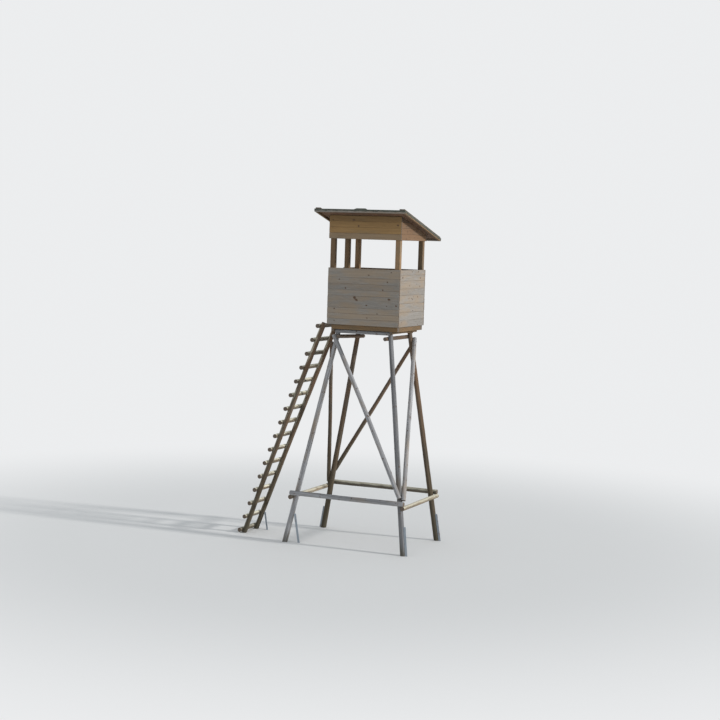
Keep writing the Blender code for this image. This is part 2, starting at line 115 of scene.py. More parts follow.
def make_camera():
    sight = Vector((-math.sin(YAW) * math.cos(TILT), math.cos(YAW) * math.cos(TILT), -math.sin(TILT)))
    level = sight.cross(Vector((0, 0, 1))).normalized()
    upward = level.cross(sight)
    right = level * math.cos(ROLL) + upward * math.sin(ROLL)
    up = upward * math.cos(ROLL) - level * math.sin(ROLL)
    data = bpy.data.cameras.new("camera")
    data.lens = FOCAL_SHARE * data.sensor_width
    data.shift_x = SHIFT
    camera = bpy.data.objects.new("camera", data)
    scene.collection.objects.link(camera)
    turn = Matrix((right, up, -sight)).transposed().to_4x4()
    place = CAMERA_FROM_CABIN + Vector((middle_x, middle_y, 0))
    camera.matrix_world = Matrix.Translation(place) @ turn
    scene.camera = camera


make_camera()
scene.view_settings.view_transform = "Standard"
print("lens", round(scene.camera.data.lens, 1), "mm")

# %% [markdown]
# Materials are built from nodes. A small class keeps the code short: each of its methods adds
# one kind of node and gives back the socket to plug into the next one. A finish is such a
# recipe that ends in a material's own shader.

# %% Node helper
class Recipe:
    """A node tree, with short ways to add its nodes."""

    def __init__(self, tree):
        self.tree = tree

    def add(self, kind, inputs, output=0, **settings):
        made = self.tree.nodes.new(kind)
        for key, value in settings.items():
            setattr(made, key, value)
        for key, value in inputs.items():
            if isinstance(value, bpy.types.NodeSocket):
                self.tree.links.new(value, made.inputs[key])
            else:
                made.inputs[key].default_value = value
        return made.outputs[output]

    def attribute(self, name, output="Vector"):
        return self.add("ShaderNodeAttribute", {}, output, attribute_name=name)

    def noise(self, vector, scale, detail=4, roughness=0.6):
        spread = self.add("ShaderNodeVectorMath", {0: vector, 1: scale}, operation="MULTIPLY")
        settings = {"Vector": spread, "Scale": 1.0, "Detail": detail, "Roughness": roughness}
        return self.add("ShaderNodeTexNoise", settings)

    def math(self, operation, a, b=0.0):
        return self.add("ShaderNodeMath", {0: a, 1: b}, operation=operation)

    def rise(self, value, low, high, start=0.0, end=1.0):
        """A soft step from start to end while the value goes from low to high."""
        inputs = {"Value": value, "From Min": low, "From Max": high, "To Min": start, "To Max": end}
        return self.add("ShaderNodeMapRange", inputs, interpolation_type="SMOOTHSTEP")

    def mix(self, share, a, b, blend="MIX"):
        colors = [(*c, 1.0) if isinstance(c, tuple) else c for c in (a, b)]
        inputs = {0: share, 6: colors[0], 7: colors[1]}
        return self.add("ShaderNodeMix", inputs, 2, data_type="RGBA", blend_type=blend)

    def axis(self, vector, name):
        return self.add("ShaderNodeSeparateXYZ", {0: vector}, name)


class Finish(Recipe):
    """The recipe of a material, which ends in its shader."""

    def __init__(self, name):
        self.material = bpy.data.materials.new(name)
        self.material.use_nodes = True
        super().__init__(self.material.node_tree)
        self.shader = self.tree.nodes["Principled BSDF"]

    def end(self, color, roughness, height, depth):
        bump = self.add("ShaderNodeBump", {"Height": height, "Distance": depth, "Strength": 1.0})
        for name, socket in (("Base Color", color), ("Roughness", roughness), ("Normal", bump)):
            self.tree.links.new(socket, self.shader.inputs[name])
        return self.material


print("short ways to add a node:", [name for name in vars(Recipe) if name[0] != "_"])

# %% [markdown]
# Wood left outside turns silver grey: the soft early wood washes out between the hard late
# wood, fine cracks open along the grain, and rain leaves the sheltered places brown. Every
# mesh here carries an attribute called grain, whose Z runs along the fibres in metres, so one
# recipe serves poles and boards. Noise that is stretched far along Z makes the fibres, a thin
# slice out of a second noise makes the cracks, painted near black as the shade inside them,
# and a slow third one sets grey against brown. A second attribute, tone, makes one board
# lighter than the next, and for some posts, poles and band rows it holds painted light and
# shade. A third marks knots, and the painted shade along seams and corners.

# %% Weathered wood
# The pale top colour and its softness: partly wear, partly painted light falling on the tops.
WORN_AND_LIT_TOP, PALE_TOP_SOFTNESS = (0.68, 0.65, 0.52), 0.48
# Cracks are painted near black: the shade inside them.
CRACK_SHADE, CRACK_WIDTH = (0.030, 0.023, 0.017), 0.011
# The knot brown also paints shade along seams and corners.
KNOT_AND_SHADE_BROWN, KNOT_AND_SHADE_SHARE = (0.085, 0.045, 0.022), 0.8
STAIN_BROWN, STAIN_SHARE = (0.060, 0.052, 0.032), 0.7
STAIN_LOW, STAIN_HIGH, FOOT_HIGH = 0.02, 0.32, 4.0
FIBRE_STRETCH = 40
LAYERS = {
    "fine": ((420, 420, 11.0), 3),
    "streak": ((34, 34, 1.3), 3),
    "patch": ((5.0, 5.0, 1.5), 4),
    "crack": ((60, 60, 1.1), 2, 0.5),
    "cracked": ((11, 11, 2.4), 2),
    "wear": ((30, 30, 5), 4),
    "damp": ((18, 18, 4), 4),
    "bend": ((14, 14, 1), 3),
    "grit": ((260, 260, 20), 3),
}


class Wood(Finish):
    """A finish whose noise follows the grain."""

    def __init__(self, name):
        super().__init__(name)
        self.grain = self.attribute("grain")

    def layer(self, name):
        return self.noise(self.grain, *LAYERS[name])

    def unevenly(self, value, name, swing):
        """The value, moved up and down by a layer of noise."""
        return self.math("ADD", value, self.rise(self.layer(name), 0.2, 0.8, -swing, swing))

    def geometry(self, output):
        return self.axis(self.add("ShaderNodeNewGeometry", {}, output), "Z")

    def wear(self, color, pale_top, reach):
        """Pale tops where the surface looks up by more than reach: partly real wear, partly painted light
        from above.
        """
        up = self.unevenly(self.geometry("Normal"), "wear", 0.3)
        return self.mix(self.rise(up, reach, reach + PALE_TOP_SOFTNESS, 0.0, pale_top), color, WORN_AND_LIT_TOP)

    def stain(self, color, foot):
        """A dark lower end, and a share of foot more that fades out far up the pole."""
        height = self.unevenly(self.geometry("Position"), "damp", 0.12)
        color = self.mix(self.rise(height, STAIN_LOW, STAIN_HIGH, STAIN_SHARE, 0.0), color, STAIN_BROWN)
        if foot:
            color = self.mix(self.rise(height, 0.0, FOOT_HIGH, foot, 0.0), color, STAIN_BROWN)
        return color


def weathered_wood(name, tones, brown, fibres, contrast=1.0, pale_top=0.0, reach=0.12, depth=0.0012,
                   swing=0.35, streaks=0.2, cracks=0.85, foot=0.0):
    """Wood in a pale, a dark and a warm tone. brown is the warm share, and the option for pale tops says how
    pale they are, as wear and painted light.

    swing is how far a pole or board may be lighter or darker than the next, streaks the same for
    the streaks in it, cracks how dark its cracks are painted, as the shade in them, and depth how far its
    fibres stand out."""
    pale, dark, warm = tones
    wood = Wood(name)
    tone = wood.attribute("tone", "Fac")
    fibre = wood.noise(wood.grain, (fibres, fibres, fibres / FIBRE_STRETCH), 6, 0.7)
    fine = wood.layer("fine")
    slit = wood.math("ABSOLUTE", wood.math("SUBTRACT", wood.layer("crack"), 0.5))
    slit = wood.rise(slit, 0.0, CRACK_WIDTH, 1.0, 0.0)
    slit = wood.math("MULTIPLY", slit, wood.rise(wood.layer("cracked"), 0.5, 0.66))
    color = wood.mix(wood.rise(fibre, 0.5 - 0.2 / contrast, 0.5 + 0.2 / contrast), dark, pale)
    share = wood.math("ADD", wood.layer("patch"), wood.rise(tone, 0.0, 1.0, -0.06, 0.06))
    color = wood.mix(wood.rise(share, 0.86 - brown, 1.14 - brown), color, warm)
    color = wood.mix(wood.rise(fine, 0.3, 0.7, 0.30 * contrast, 0.0), color, dark)
    color = wood.mix(wood.rise(fibre, 0.2, 0.5, 0.35 * contrast, 0.0), color, dark)
    light = wood.math("ADD", wood.math("MULTIPLY", tone, 2 * swing), 1 - swing)
    streak = wood.rise(wood.layer("streak"), 0.28, 0.72, 1 - streaks, 1 + streaks)
    light = wood.math("MULTIPLY", light, streak)
    light = wood.add("ShaderNodeCombineColor", {0: light, 1: light, 2: light})
    color = wood.mix(1.0, color, light, "MULTIPLY")
    # Pale tops, partly worn and partly painted light from above.
    if pale_top:
        color = wood.wear(color, pale_top, reach)
    color = wood.stain(color, foot)
    # Painted shade in the cracks.
    color = wood.mix(wood.math("MULTIPLY", slit, cracks), color, CRACK_SHADE)
    # The knot mark carries knots, their halos, and painted shade on long corners.
    knot = wood.attribute("knot", "Fac")
    color = wood.mix(wood.rise(knot, 0.2, 0.6, 0.0, KNOT_AND_SHADE_SHARE), color, KNOT_AND_SHADE_BROWN)
    height = wood.math("ADD", wood.math("MULTIPLY", fibre, 0.8), wood.math("MULTIPLY", fine, 0.4))
    height = wood.math("SUBTRACT", height, slit)
    return wood.end(color, wood.rise(fibre, 0.2, 0.8, 0.97, 0.78), height, depth)


print("layers of noise to draw on:", list(LAYERS))

# %% [markdown]
# One recipe, many woods: the stems in front are silver, those behind and the ladder's rails
# are brown and darken towards their damp feet. Rungs and low poles are pale on top, partly
# worn and partly painted light, and the rails carry painted light on their upper side. The
# boards are grey where rain and sun reach them and ochre under the roof. The russet at the
# sides, the dark inner faces and the darker underside of the roof paint shade, on wood that
# stays brown where it is sheltered. Each wood is one row of the table: its three tones, its
# warm share, how fine its fibres are, and what else sets it apart. A copy of the recipe for
# each would say less.

# %% Woods
BOARD = {"depth": 0.0004, "streaks": 0.1}
TIMBER = {"streaks": 0.12}
UMBER = ((0.245, 0.198, 0.152), (0.10, 0.073, 0.052), (0.195, 0.115, 0.065))
TREAD = ((0.24, 0.215, 0.17), (0.09, 0.075, 0.055), (0.17, 0.13, 0.085))
WOODS = {
    "silver_pole": (
        ((0.365, 0.37, 0.385), (0.16, 0.157, 0.157), (0.25, 0.20, 0.15)), 0.36, 80, {}),
    "brown_pole": (UMBER, 0.56, 80, {"foot": 0.85}),
    # The rails' pale upper side is painted light; the pale tops of rungs and ring poles are partly wear,
    # partly painted light.
    "ladder_pole": (UMBER, 0.60, 80, {"pale_top": 0.7, "reach": -0.08, "foot": 0.85}),
    "rung_wood": (TREAD, 0.50, 80, {"pale_top": 1.0, "reach": 0.22}),
    "ring_pole": (TREAD, 0.50, 80, {"pale_top": 0.6}),
    "grey_board": (
        ((0.33, 0.31, 0.285), (0.195, 0.174, 0.148), (0.305, 0.238, 0.172)), 0.50, 190,
        {"contrast": 0.85, "depth": 0.0004, "swing": 0.13, "streaks": 0.06, "cracks": 0.35}),
    "ochre_board": (
        ((0.31, 0.225, 0.116), (0.17, 0.117, 0.057), (0.305, 0.182, 0.072)), 0.62, 190,
        {"contrast": 0.85, "swing": 0.2, **BOARD}),
    "rained_board": (
        ((0.285, 0.225, 0.155), (0.165, 0.125, 0.085), (0.28, 0.195, 0.115)), 0.55, 190,
        {"contrast": 0.8, "swing": 0.12, **BOARD}),
    # The side bands' russet is a darker copy of the ochre, painted shade under the side eaves.
    "russet_shade_board": (
        ((0.17, 0.128, 0.088), (0.091, 0.06, 0.038), (0.17, 0.098, 0.051)), 0.62, 190,
        {"contrast": 0.75, **BOARD}),
    # Inner faces of walls, bands and deck: brown sheltered wood, painted darker as shade.
    "sheltered_shaded_board": (
        ((0.20, 0.14, 0.085), (0.085, 0.055, 0.034), (0.17, 0.10, 0.05)), 0.60, 170,
        {"contrast": 0.8, "swing": 0.15, **BOARD}),
    # The roof boards' underside: a darker, redder copy of the sheltered wood, painted shade under the eaves.
    "eaves_shade_board": (
        ((0.17, 0.108, 0.068), (0.075, 0.043, 0.027), (0.155, 0.08, 0.042)), 0.60, 170,
        {"contrast": 0.8, "swing": 0.15, **BOARD}),
    "sawn_post": (
        ((0.26, 0.195, 0.12), (0.12, 0.084, 0.05), (0.235, 0.142, 0.072)), 0.60, 150,
        {"contrast": 0.8, "depth": 0.0005, **TIMBER}),
    "floor_beam": (
        ((0.25, 0.178, 0.095), (0.12, 0.08, 0.044), (0.245, 0.145, 0.065)), 0.55, 130,
        {"contrast": 0.9, "depth": 0.0006, **TIMBER}),
}
woods = {}
for name, (tones, brown, fibres, options) in WOODS.items():
    woods[name] = weathered_wood(name, tones, brown, fibres, **options)
print("woods made:", list(woods))

# %% [markdown]
# A sawn end shows rings. The distance from the pith, read from the grain's X and Y, goes
# through a sine to give them, bent a little by noise, and fine grit roughens the cut. Knots in
# a board are small sawn branches, so they get the same recipe in a darker brown.

# %% End grain and knots
def ringed_wood(name, pale, dark, rings, depth):
    wood = Wood(name)
    flat = wood.add("ShaderNodeVectorMath", {0: wood.grain, 1: (1, 1, 0)}, operation="MULTIPLY")
    pith = wood.add("ShaderNodeVectorMath", {0: flat}, "Value", operation="LENGTH")
    pith = wood.math("ADD", pith, wood.math("MULTIPLY", wood.layer("bend"), 2.2 / rings))
    ring = wood.math("SINE", wood.math("MULTIPLY", pith, rings))
    grit = wood.layer("grit")
    color = wood.mix(wood.rise(ring, -0.8, 0.9), pale, dark)
    color = wood.mix(wood.rise(grit, 0.35, 0.7, 0.0, 0.5), color, dark)
    height = wood.math("ADD", wood.math("MULTIPLY", ring, -0.25), grit)
    return wood.end(color, wood.rise(grit, 0.2, 0.8, 0.95, 0.8), height, depth)


woods["end"] = ringed_wood("sawn_end", (0.20, 0.16, 0.12), (0.085, 0.06, 0.045), 900, 0.001)
woods["knot"] = ringed_wood("board_knot", (0.155, 0.095, 0.055), (0.075, 0.043, 0.025), 700, 0.0008)


def pick(*names):
    return [woods[name] for name in names]


print("ringed woods:", [wood.name for wood in pick("end", "knot")])

# %% [markdown]
# Roofing felt is bitumen with slate grit pressed into it. Its grit is a fine cellular pattern,
# and slow noise brings in dust and a breath of green where it stays damp. The steel of stakes
# and nails is one recipe too: bare metal, and a patchy noise that turns part of it to rust,
# which is rough, brown and no metal any more.

# %% Felt and steel
GRIT_SCALE = 420.0
RUST_DARK, RUST_LIGHT = (0.11, 0.045, 0.018), (0.26, 0.115, 0.045)
STEEL_DIRT = (0.10, 0.11, 0.12)


def grit_felt():
    felt = Finish("grit_felt")
    place = felt.add("ShaderNodeTexCoord", {}, "Object")
    grit = felt.add("ShaderNodeTexVoronoi", {"Vector": place, "Scale": GRIT_SCALE}, "Color")
    grit = felt.axis(grit, "X")
    dust, damp = felt.noise(place, (3, 3, 3), 5), felt.noise(place, (7, 7, 7), 4)
    color = felt.mix(grit, (0.040, 0.044, 0.036), (0.105, 0.114, 0.09))
    color = felt.mix(felt.rise(dust, 0.42, 0.7, 0.0, 0.55), color, (0.13, 0.13, 0.11))
    color = felt.mix(felt.rise(damp, 0.55, 0.75, 0.0, 0.35), color, (0.055, 0.075, 0.030))
    return felt.end(color, felt.rise(grit, 0.0, 1.0, 0.98, 0.8), grit, 0.0008)


def aged_steel(name, steel, share, roughness):
    """Steel of which about this share has rusted."""
    metal = Finish(name)
    place = metal.add("ShaderNodeTexCoord", {}, "Object")
    patch = metal.noise(place, (16, 16, 9), 6, 0.65)
    speck = metal.noise(place, (240, 240, 240), 3)
    rust = metal.rise(patch, 0.62 - share * 0.25, 0.72 - share * 0.2)
    color = metal.mix(metal.rise(speck, 0.3, 0.7, 0.0, 0.3), steel, STEEL_DIRT)
    color = metal.mix(rust, color, metal.mix(speck, RUST_DARK, RUST_LIGHT))
    metal.tree.links.new(metal.rise(rust, 0.0, 1.0, 0.85, 0.0), metal.shader.inputs["Metallic"])
    rough = metal.rise(rust, 0.0, 1.0, roughness, 0.92)
    return metal.end(color, rough, metal.math("ADD", rust, speck), 0.0007)


felt_finish = grit_felt()
stake_steel = aged_steel("stake_steel", (0.36, 0.41, 0.46), 0.1, 0.5)
nail_steel = aged_steel("nail_steel", (0.22, 0.21, 0.20), 0.8, 0.6)
print("other finishes:", felt_finish.name, stake_steel.name, nail_steel.name)

# %% [markdown]
# A soft sun stands low on the right, so that the right wall is the light one and the front
# lies in even shade. An even light from all round does the rest. Light Path shows it almost
# white to the camera and in reflections, while the wood gets less of it: the full brightness
# would wash out the grain.

# %% Light
SUN_TURN, SUN_HEIGHT, SUN_SIZE = math.radians(4), math.radians(20), math.radians(4)
SUN_STRENGTH, SKY_STRENGTH = 2.5, 0.65
SUN_COLOR, SKY_COLOR = (1.0, 0.98, 0.96), (0.90, 0.95, 1.0, 1.0)
PALE = (0.84, 0.85, 0.86, 1.0)


def make_sun():
    sun = bpy.data.lights.new("sun", "SUN")
    sun.energy, sun.angle, sun.color = SUN_STRENGTH, SUN_SIZE, SUN_COLOR
    lamp = bpy.data.objects.new("sun", sun)
    flat = math.cos(SUN_HEIGHT)
    toward = Vector((flat * math.cos(SUN_TURN), flat * math.sin(SUN_TURN), math.sin(SUN_HEIGHT)))
    lamp.rotation_euler = toward.to_track_quat("Z", "Y").to_euler()
    scene.collection.objects.link(lamp)


def make_sky():
    world = bpy.data.worlds.new("sky")
    scene.world = world
    world.use_nodes = True
    air = Recipe(world.node_tree)
    sky = air.tree.nodes["Background"]
    sky.inputs["Color"].default_value = SKY_COLOR
    sky.inputs["Strength"].default_value = SKY_STRENGTH
    shown = air.add("ShaderNodeBackground", {"Color": PALE})
    rays = [air.add("ShaderNodeLightPath", {}, name) for name in ("Is Camera Ray", "Is Glossy Ray")]
    mixed = air.add("ShaderNodeMixShader", {0: air.math("MAXIMUM", *rays), 1: sky.outputs[0], 2: shown})
    air.tree.links.new(mixed, air.tree.nodes["World Output"].inputs["Surface"])


make_sun()
make_sky()
print("sun", SUN_STRENGTH, "sky", SKY_STRENGTH)

# %% [markdown]
# The stand is shown on a pale, plain floor that keeps its shadow. Far out, the floor fades
# into the colour of the backdrop, so that its edge doesn't cut through the picture. A curved
# wall behind the stand would hide that edge from one side only.

# %% Floor under the stand
GROUND_REACH = 400
FADE_FROM, FADE_TO = 5.0, 14.0


def make_ground():
    mesh = bpy.data.meshes.new("ground")
    reach = GROUND_REACH
    corners = [(-reach, -reach, 0), (reach, -reach, 0), (reach, reach, 0), (-reach, reach, 0)]
    mesh.from_pydata(corners, [], [(0, 1, 2, 3)])
    ground = bpy.data.objects.new("ground", mesh)
    scene.collection.objects.link(ground)
    paint = Finish("pale_floor")
    paint.shader.inputs["Roughness"].default_value = 0.9
    paint.shader.inputs["Base Color"].default_value = (0.72, 0.72, 0.71, 1.0)
    place = paint.add("ShaderNodeNewGeometry", {}, "Position")
    away = paint.add("ShaderNodeVectorMath", {0: place}, "Value", operation="LENGTH")
    glow = paint.add("ShaderNodeEmission", {"Color": PALE, "Strength": 1.0})
    path = paint.add("ShaderNodeLightPath", {}, "Is Camera Ray")
    share = paint.math("MULTIPLY", paint.rise(away, FADE_FROM, FADE_TO), path)
    mixed = paint.add("ShaderNodeMixShader", {0: share, 1: paint.shader.outputs[0], 2: glow})
    paint.tree.links.new(mixed, paint.tree.nodes["Material Output"].inputs["Surface"])
    mesh.materials.append(paint.material)
    ground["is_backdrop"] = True


make_ground()
print("floor fades from", FADE_FROM, "to", FADE_TO, "m")

# %% [markdown]
# All the woodwork is swept: a row of closed loops, one after the other along the grain,
# joined by faces and closed at both ends with a small worn bevel. A pole is a sweep of
# circles and a board one of thin oblongs. The class below collects many sweeps into one mesh
# with their grain, their knots and their finishes, which keeps the number of objects small.

# %% Collect shapes
END_BEVEL = 0.0025
CAP_LOOPS = (0.955, 0.5)
SHARP_ANGLE = math.radians(38)


def place_piece(piece, slot, *replaced):
    scene.collection.objects.link(piece)
    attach(piece, "root")
    if replaced:
        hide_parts(*replaced)
    return piece


class Shapes:
    """Points, faces, grain and finishes of many small shapes that become one piece.

    place, where it is given, moves every point from the shape's own space into the stand's."""

    def __init__(self, place=None):
        self.place = place
        # The knot mark also holds the painted shade of seams and corners.
        self.points, self.grain, self.knot, self.tone = [], [], [], []
        self.faces, self.finish = [], []

    def add(self, points, grain, faces, finish, knot=None, tone=0.5):
        start = sum(len(block) for block in self.points)
        points = np.asarray(points, float)
        self.points.append(self.place(points) if self.place else points)
        self.grain.append(np.asarray(grain, float))
        self.knot.append(np.zeros(len(points)) if knot is None else knot)
        self.tone.append(np.full(len(points), tone))
        self.faces += [tuple(start + i for i in face) for face in faces]
        self.finish += finish

    def sweep(self, rows, grain, knot, finish, end_finish, flat_foot=False, tone=0.5):
        """Skins the loops, then closes each end over a bevel and one inner loop."""
        count, around = rows.shape[:2]
        side = np.arange(around)
        after = (side + 1) % around
        faces, finishes = [], list(finish) * (count - 1)
        for low in range(0, (count - 1) * around, around):
            high = low + around
            faces += zip(low + side, low + after, high + after, high + side)
        points, grains = [rows.reshape(-1, 3)], [grain.reshape(-1, 3)]
        total = count * around
        for row, neighbour in ((0, 1), (count - 1, count - 2)):
            middle, grain_middle = rows[row].mean(0), grain[row].mean(0)
            out = middle - rows[neighbour].mean(0)
            out *= (0 if flat_foot and row == 0 else END_BEVEL) / np.linalg.norm(out)
            rim = row * around
            for share in CAP_LOOPS:
                points.append(middle + (rows[row] - middle) * share + out)
                grains.append(grain_middle + (grain[row] - grain_middle) * share)
                loop = (rim + side, rim + after, total + after, total + side)
                faces += zip(*(loop if row else loop[::-1]))
                rim = total
                total += around
            points.append([middle + out])
            grains.append([grain_middle])
            loop = (rim + side, rim + after, np.full(around, total))
            faces += zip(*(loop if row else loop[::-1]))
            finishes += [end_finish] * around * (len(CAP_LOOPS) + 1)
            total += 1
        marks = np.zeros(total)
        marks[: count * around] = knot.ravel()
        self.add(np.concatenate(points), np.concatenate(grains), faces, finishes, marks, tone)

    def piece(self, name, materials, slot, *replaced):
        mesh = bpy.data.meshes.new(name)
        mesh.from_pydata(np.concatenate(self.points), [], self.faces)
        for label, kind, values, field in (
            ("grain", "FLOAT_VECTOR", self.grain, "vector"),
            ("knot", "FLOAT", self.knot, "value"),
            ("tone", "FLOAT", self.tone, "value"),
        ):
            stored = mesh.attributes.new(label, kind, "POINT")
            stored.data.foreach_set(field, np.concatenate(values).ravel())
        mesh.polygons.foreach_set("material_index", self.finish)
        for material in materials:
            mesh.materials.append(material)
        mesh.shade_smooth()
        mesh.set_sharp_from_angle(angle=SHARP_ANGLE)
        return place_piece(bpy.data.objects.new(name, mesh), slot, *replaced)


print("ends are bevelled by", END_BEVEL * 1000, "mm")

# %% [markdown]
# Each pole of the frame is a plain prism. Its two end faces give the ends of its centre line
# and its thickness there, so the dressed pole lies where the model's pole lies. The longest
# direction through its points tells which way it runs.

# %% Read a pole's centre line
CAP_ANGLE, CAP_DEPTH = 0.88, 0.06
LEVEL_RISE = 0.2


def pole_line(node):
    """Foot, top, foot radius and top radius of a pole, from its packed mesh."""
    mesh = nodes[node].data
    points = np.array([vertex.co for vertex in mesh.vertices])
    axis = np.linalg.svd(points - points.mean(0), full_matrices=False)[2][0]
    along = points @ axis
    ends = []
    for sign in (-1, 1):
        edge = (sign * along).max()
        cap = set()
        for face in mesh.polygons:
            corners = list(face.vertices)
            near = (sign * along[corners]).min() > edge - CAP_DEPTH
            if near and sign * Vector(axis).dot(face.normal) > CAP_ANGLE:
                cap.update(corners)
        cap = points[sorted(cap)]
        ends.append(((cap.min(0) + cap.max(0)) / 2, cap))
    if ends[0][0][2] > ends[1][0][2] + LEVEL_RISE:
        ends.reverse()
    (foot, foot_cap), (top, top_cap) = ends
    line = (top - foot) / np.linalg.norm(top - foot)
    radii = [
        np.linalg.norm(np.cross(cap - start, line), axis=1).max()
        for start, cap in ((foot, foot_cap), (top, top_cap))
    ]
    return foot, top, *radii


def crosswise(axis, hint):
    """Two directions at right angles to an axis and to each other."""
    side = np.cross(axis, hint)
    side /= np.linalg.norm(side)
    return side, np.cross(axis, side)


print("front left leg", [np.round(v, 3).tolist() for v in pole_line("leg_front_left")])

# %% [markdown]
# A peeled pole is never quite round. Whorls of cut branches stand out as flat bumps every
# foot or so, and the stem wavers in between. The loops of the sweep stand closer together at
# each whorl, so that its bumps are round without a fine mesh all along the pole.

# %% Waves and whorls
FULL_TURN = 2 * math.pi
SECTION = 0.035
KNOT_STEP = 0.006
KNOT_LOOPS = 3
WAVES, WAVE_GAIN = 6, 1.6
WHORL_GAP, WHORL_SPREAD, BRANCH = (0.22, 0.42), 0.012, (0.008, 0.014)


def waves(rng, along, around, reach):
    """An uneven field along and round a pole, between about -1 and 1."""
    field = np.zeros(np.broadcast(along, around).shape)
    for _ in range(WAVES):
        turns = rng.integers(0, 5)
        field += np.sin(rng.uniform(*reach) * along + turns * around + rng.uniform(0, FULL_TURN))
    return field / WAVES * WAVE_GAIN


def whorls(rng, length):
    """Places of cut branches, each with its height, its turn round the stem and its size."""
    knots = []
    along = rng.uniform(0.08, 0.25)
    while along < length - 0.05:
        for _ in range(rng.integers(1, 4)):
            height = along + rng.normal(0, WHORL_SPREAD)
            knots.append((height, rng.uniform(0, FULL_TURN), rng.uniform(*BRANCH)))
        along += rng.uniform(*WHORL_GAP)
    return knots


def stations(length, knots):
    """Where the loops stand: evenly, and closer at each knot."""
    spread = np.linspace(0, length, max(4, int(length / SECTION)))
    close = [k[0] + step * KNOT_STEP for k in knots for step in range(-KNOT_LOOPS, KNOT_LOOPS + 1)]
    every = np.sort(np.concatenate([spread, [c for c in close if 0.01 < c < length - 0.01]]))
    kept = [0.0]
    for value in every[1:]:
        if value - kept[-1] > KNOT_STEP * 0.7:
            kept.append(value)
    kept[-1] = length
    return np.array(kept)


print("loops on two metres of plain pole:", len(stations(2.0, [])))

# %% [markdown]
# When a round stem dries, it splits from the outside towards the pith, along one to three
# lines that wind slowly round it. The splits are cut into the mesh: a few closely spaced
# columns follow each one, and the middle column sinks. A bump in the material alone could
# not catch the light from the side.

# %% Drying cracks
COLUMNS = 30
CHECK_HALF = 0.0022
CHECK_COLUMNS = (-2.2, -1.0, 0.0, 1.0, 2.2)
CHECK_SINK = (0.0, 0.25, 1.0, 0.25, 0.0)
CHECK_CLEAR = 3.4
CHECK_DEPTH = 0.34


def pole_columns(starts, mean_radius):
    """Turn of each column, the number of its crack and its share of the crack's depth."""
    step = CHECK_HALF / mean_radius
    columns = []
    for base in np.linspace(0, FULL_TURN, COLUMNS, endpoint=False):
        gaps = [abs((base - start + math.pi) % FULL_TURN - math.pi) for start in starts]
        if not gaps or min(gaps) > step * CHECK_CLEAR:
            columns.append((base, 0, 0))
    for number, start in enumerate(starts):
        for shift, share in zip(CHECK_COLUMNS, CHECK_SINK):
            columns.append(((start + shift * step) % FULL_TURN, number, share))
    return sorted(columns)


def sink_cracks(radius, columns, starts, along, share, mean_radius):
    """Lowers the cracks' columns. They open and close along the pole and fade at its ends."""
    fade = np.sin(math.pi * np.clip(share * 1.04 - 0.02, 0, 1)) ** 0.35
    for column, (_, number, depth) in enumerate(columns):
        if depth:
            opened = 0.55 + 0.45 * np.sin((2.1 + number) * along + starts[number] * 3)
            radius[:, column] -= depth * mean_radius * CHECK_DEPTH * fade * opened


print("columns round a pole with two cracks:", len(pole_columns((1.0, 3.0), 0.05)))

# %% [markdown]
# The pole itself starts as a straight taper between the radii of its two ends. The oval of
# the stem, its waver, its branches and its cracks are added to that radius one by one, all in
# arrays with a row for each loop and a column for each lengthwise line. It never grows past
# the model's pole by more than a small bulge, so that what is nailed to it still fits. The
# legs and rails are cut flat at their feet, so their lowest loop is laid into z = 0.

# %% A round pole
BULGE = 1.025
OVAL, SMALLER = 0.018, 0.975
WAVER = ((0.0009, 1, (4, 30)), (0.0005, 3, (10, 60)))
BRANCH_HIGH = 0.0022
SWAY, FULL_SWAY_LENGTH = 0.003, 3
FOOT_CUT = 0.6
GRAIN_STEP = 7.3
POLE_HINT = (0.31, 0.87, 0.12)


def swaying(rng, z):
    return np.sin(rng.uniform(1.5, 3) * z + rng.uniform(0, 6))


def add_branches(radius, turned, z, knots, mean_radius):
    """Raises a bump for each branch, and marks it for the material."""
    mark = np.zeros(radius.shape)
    for knot_z, knot_turn, size in knots:
        gap = (turned - knot_turn + math.pi) % FULL_TURN - math.pi
        distance = np.hypot((z - knot_z) * 0.8, gap * mean_radius) / size
        radius = radius + BRANCH_HIGH * np.clip(1.5 * np.exp(-distance**2 * 0.8), 0, 1)
        mark = np.maximum(mark, np.exp(-(distance**2)))
    return radius, mark


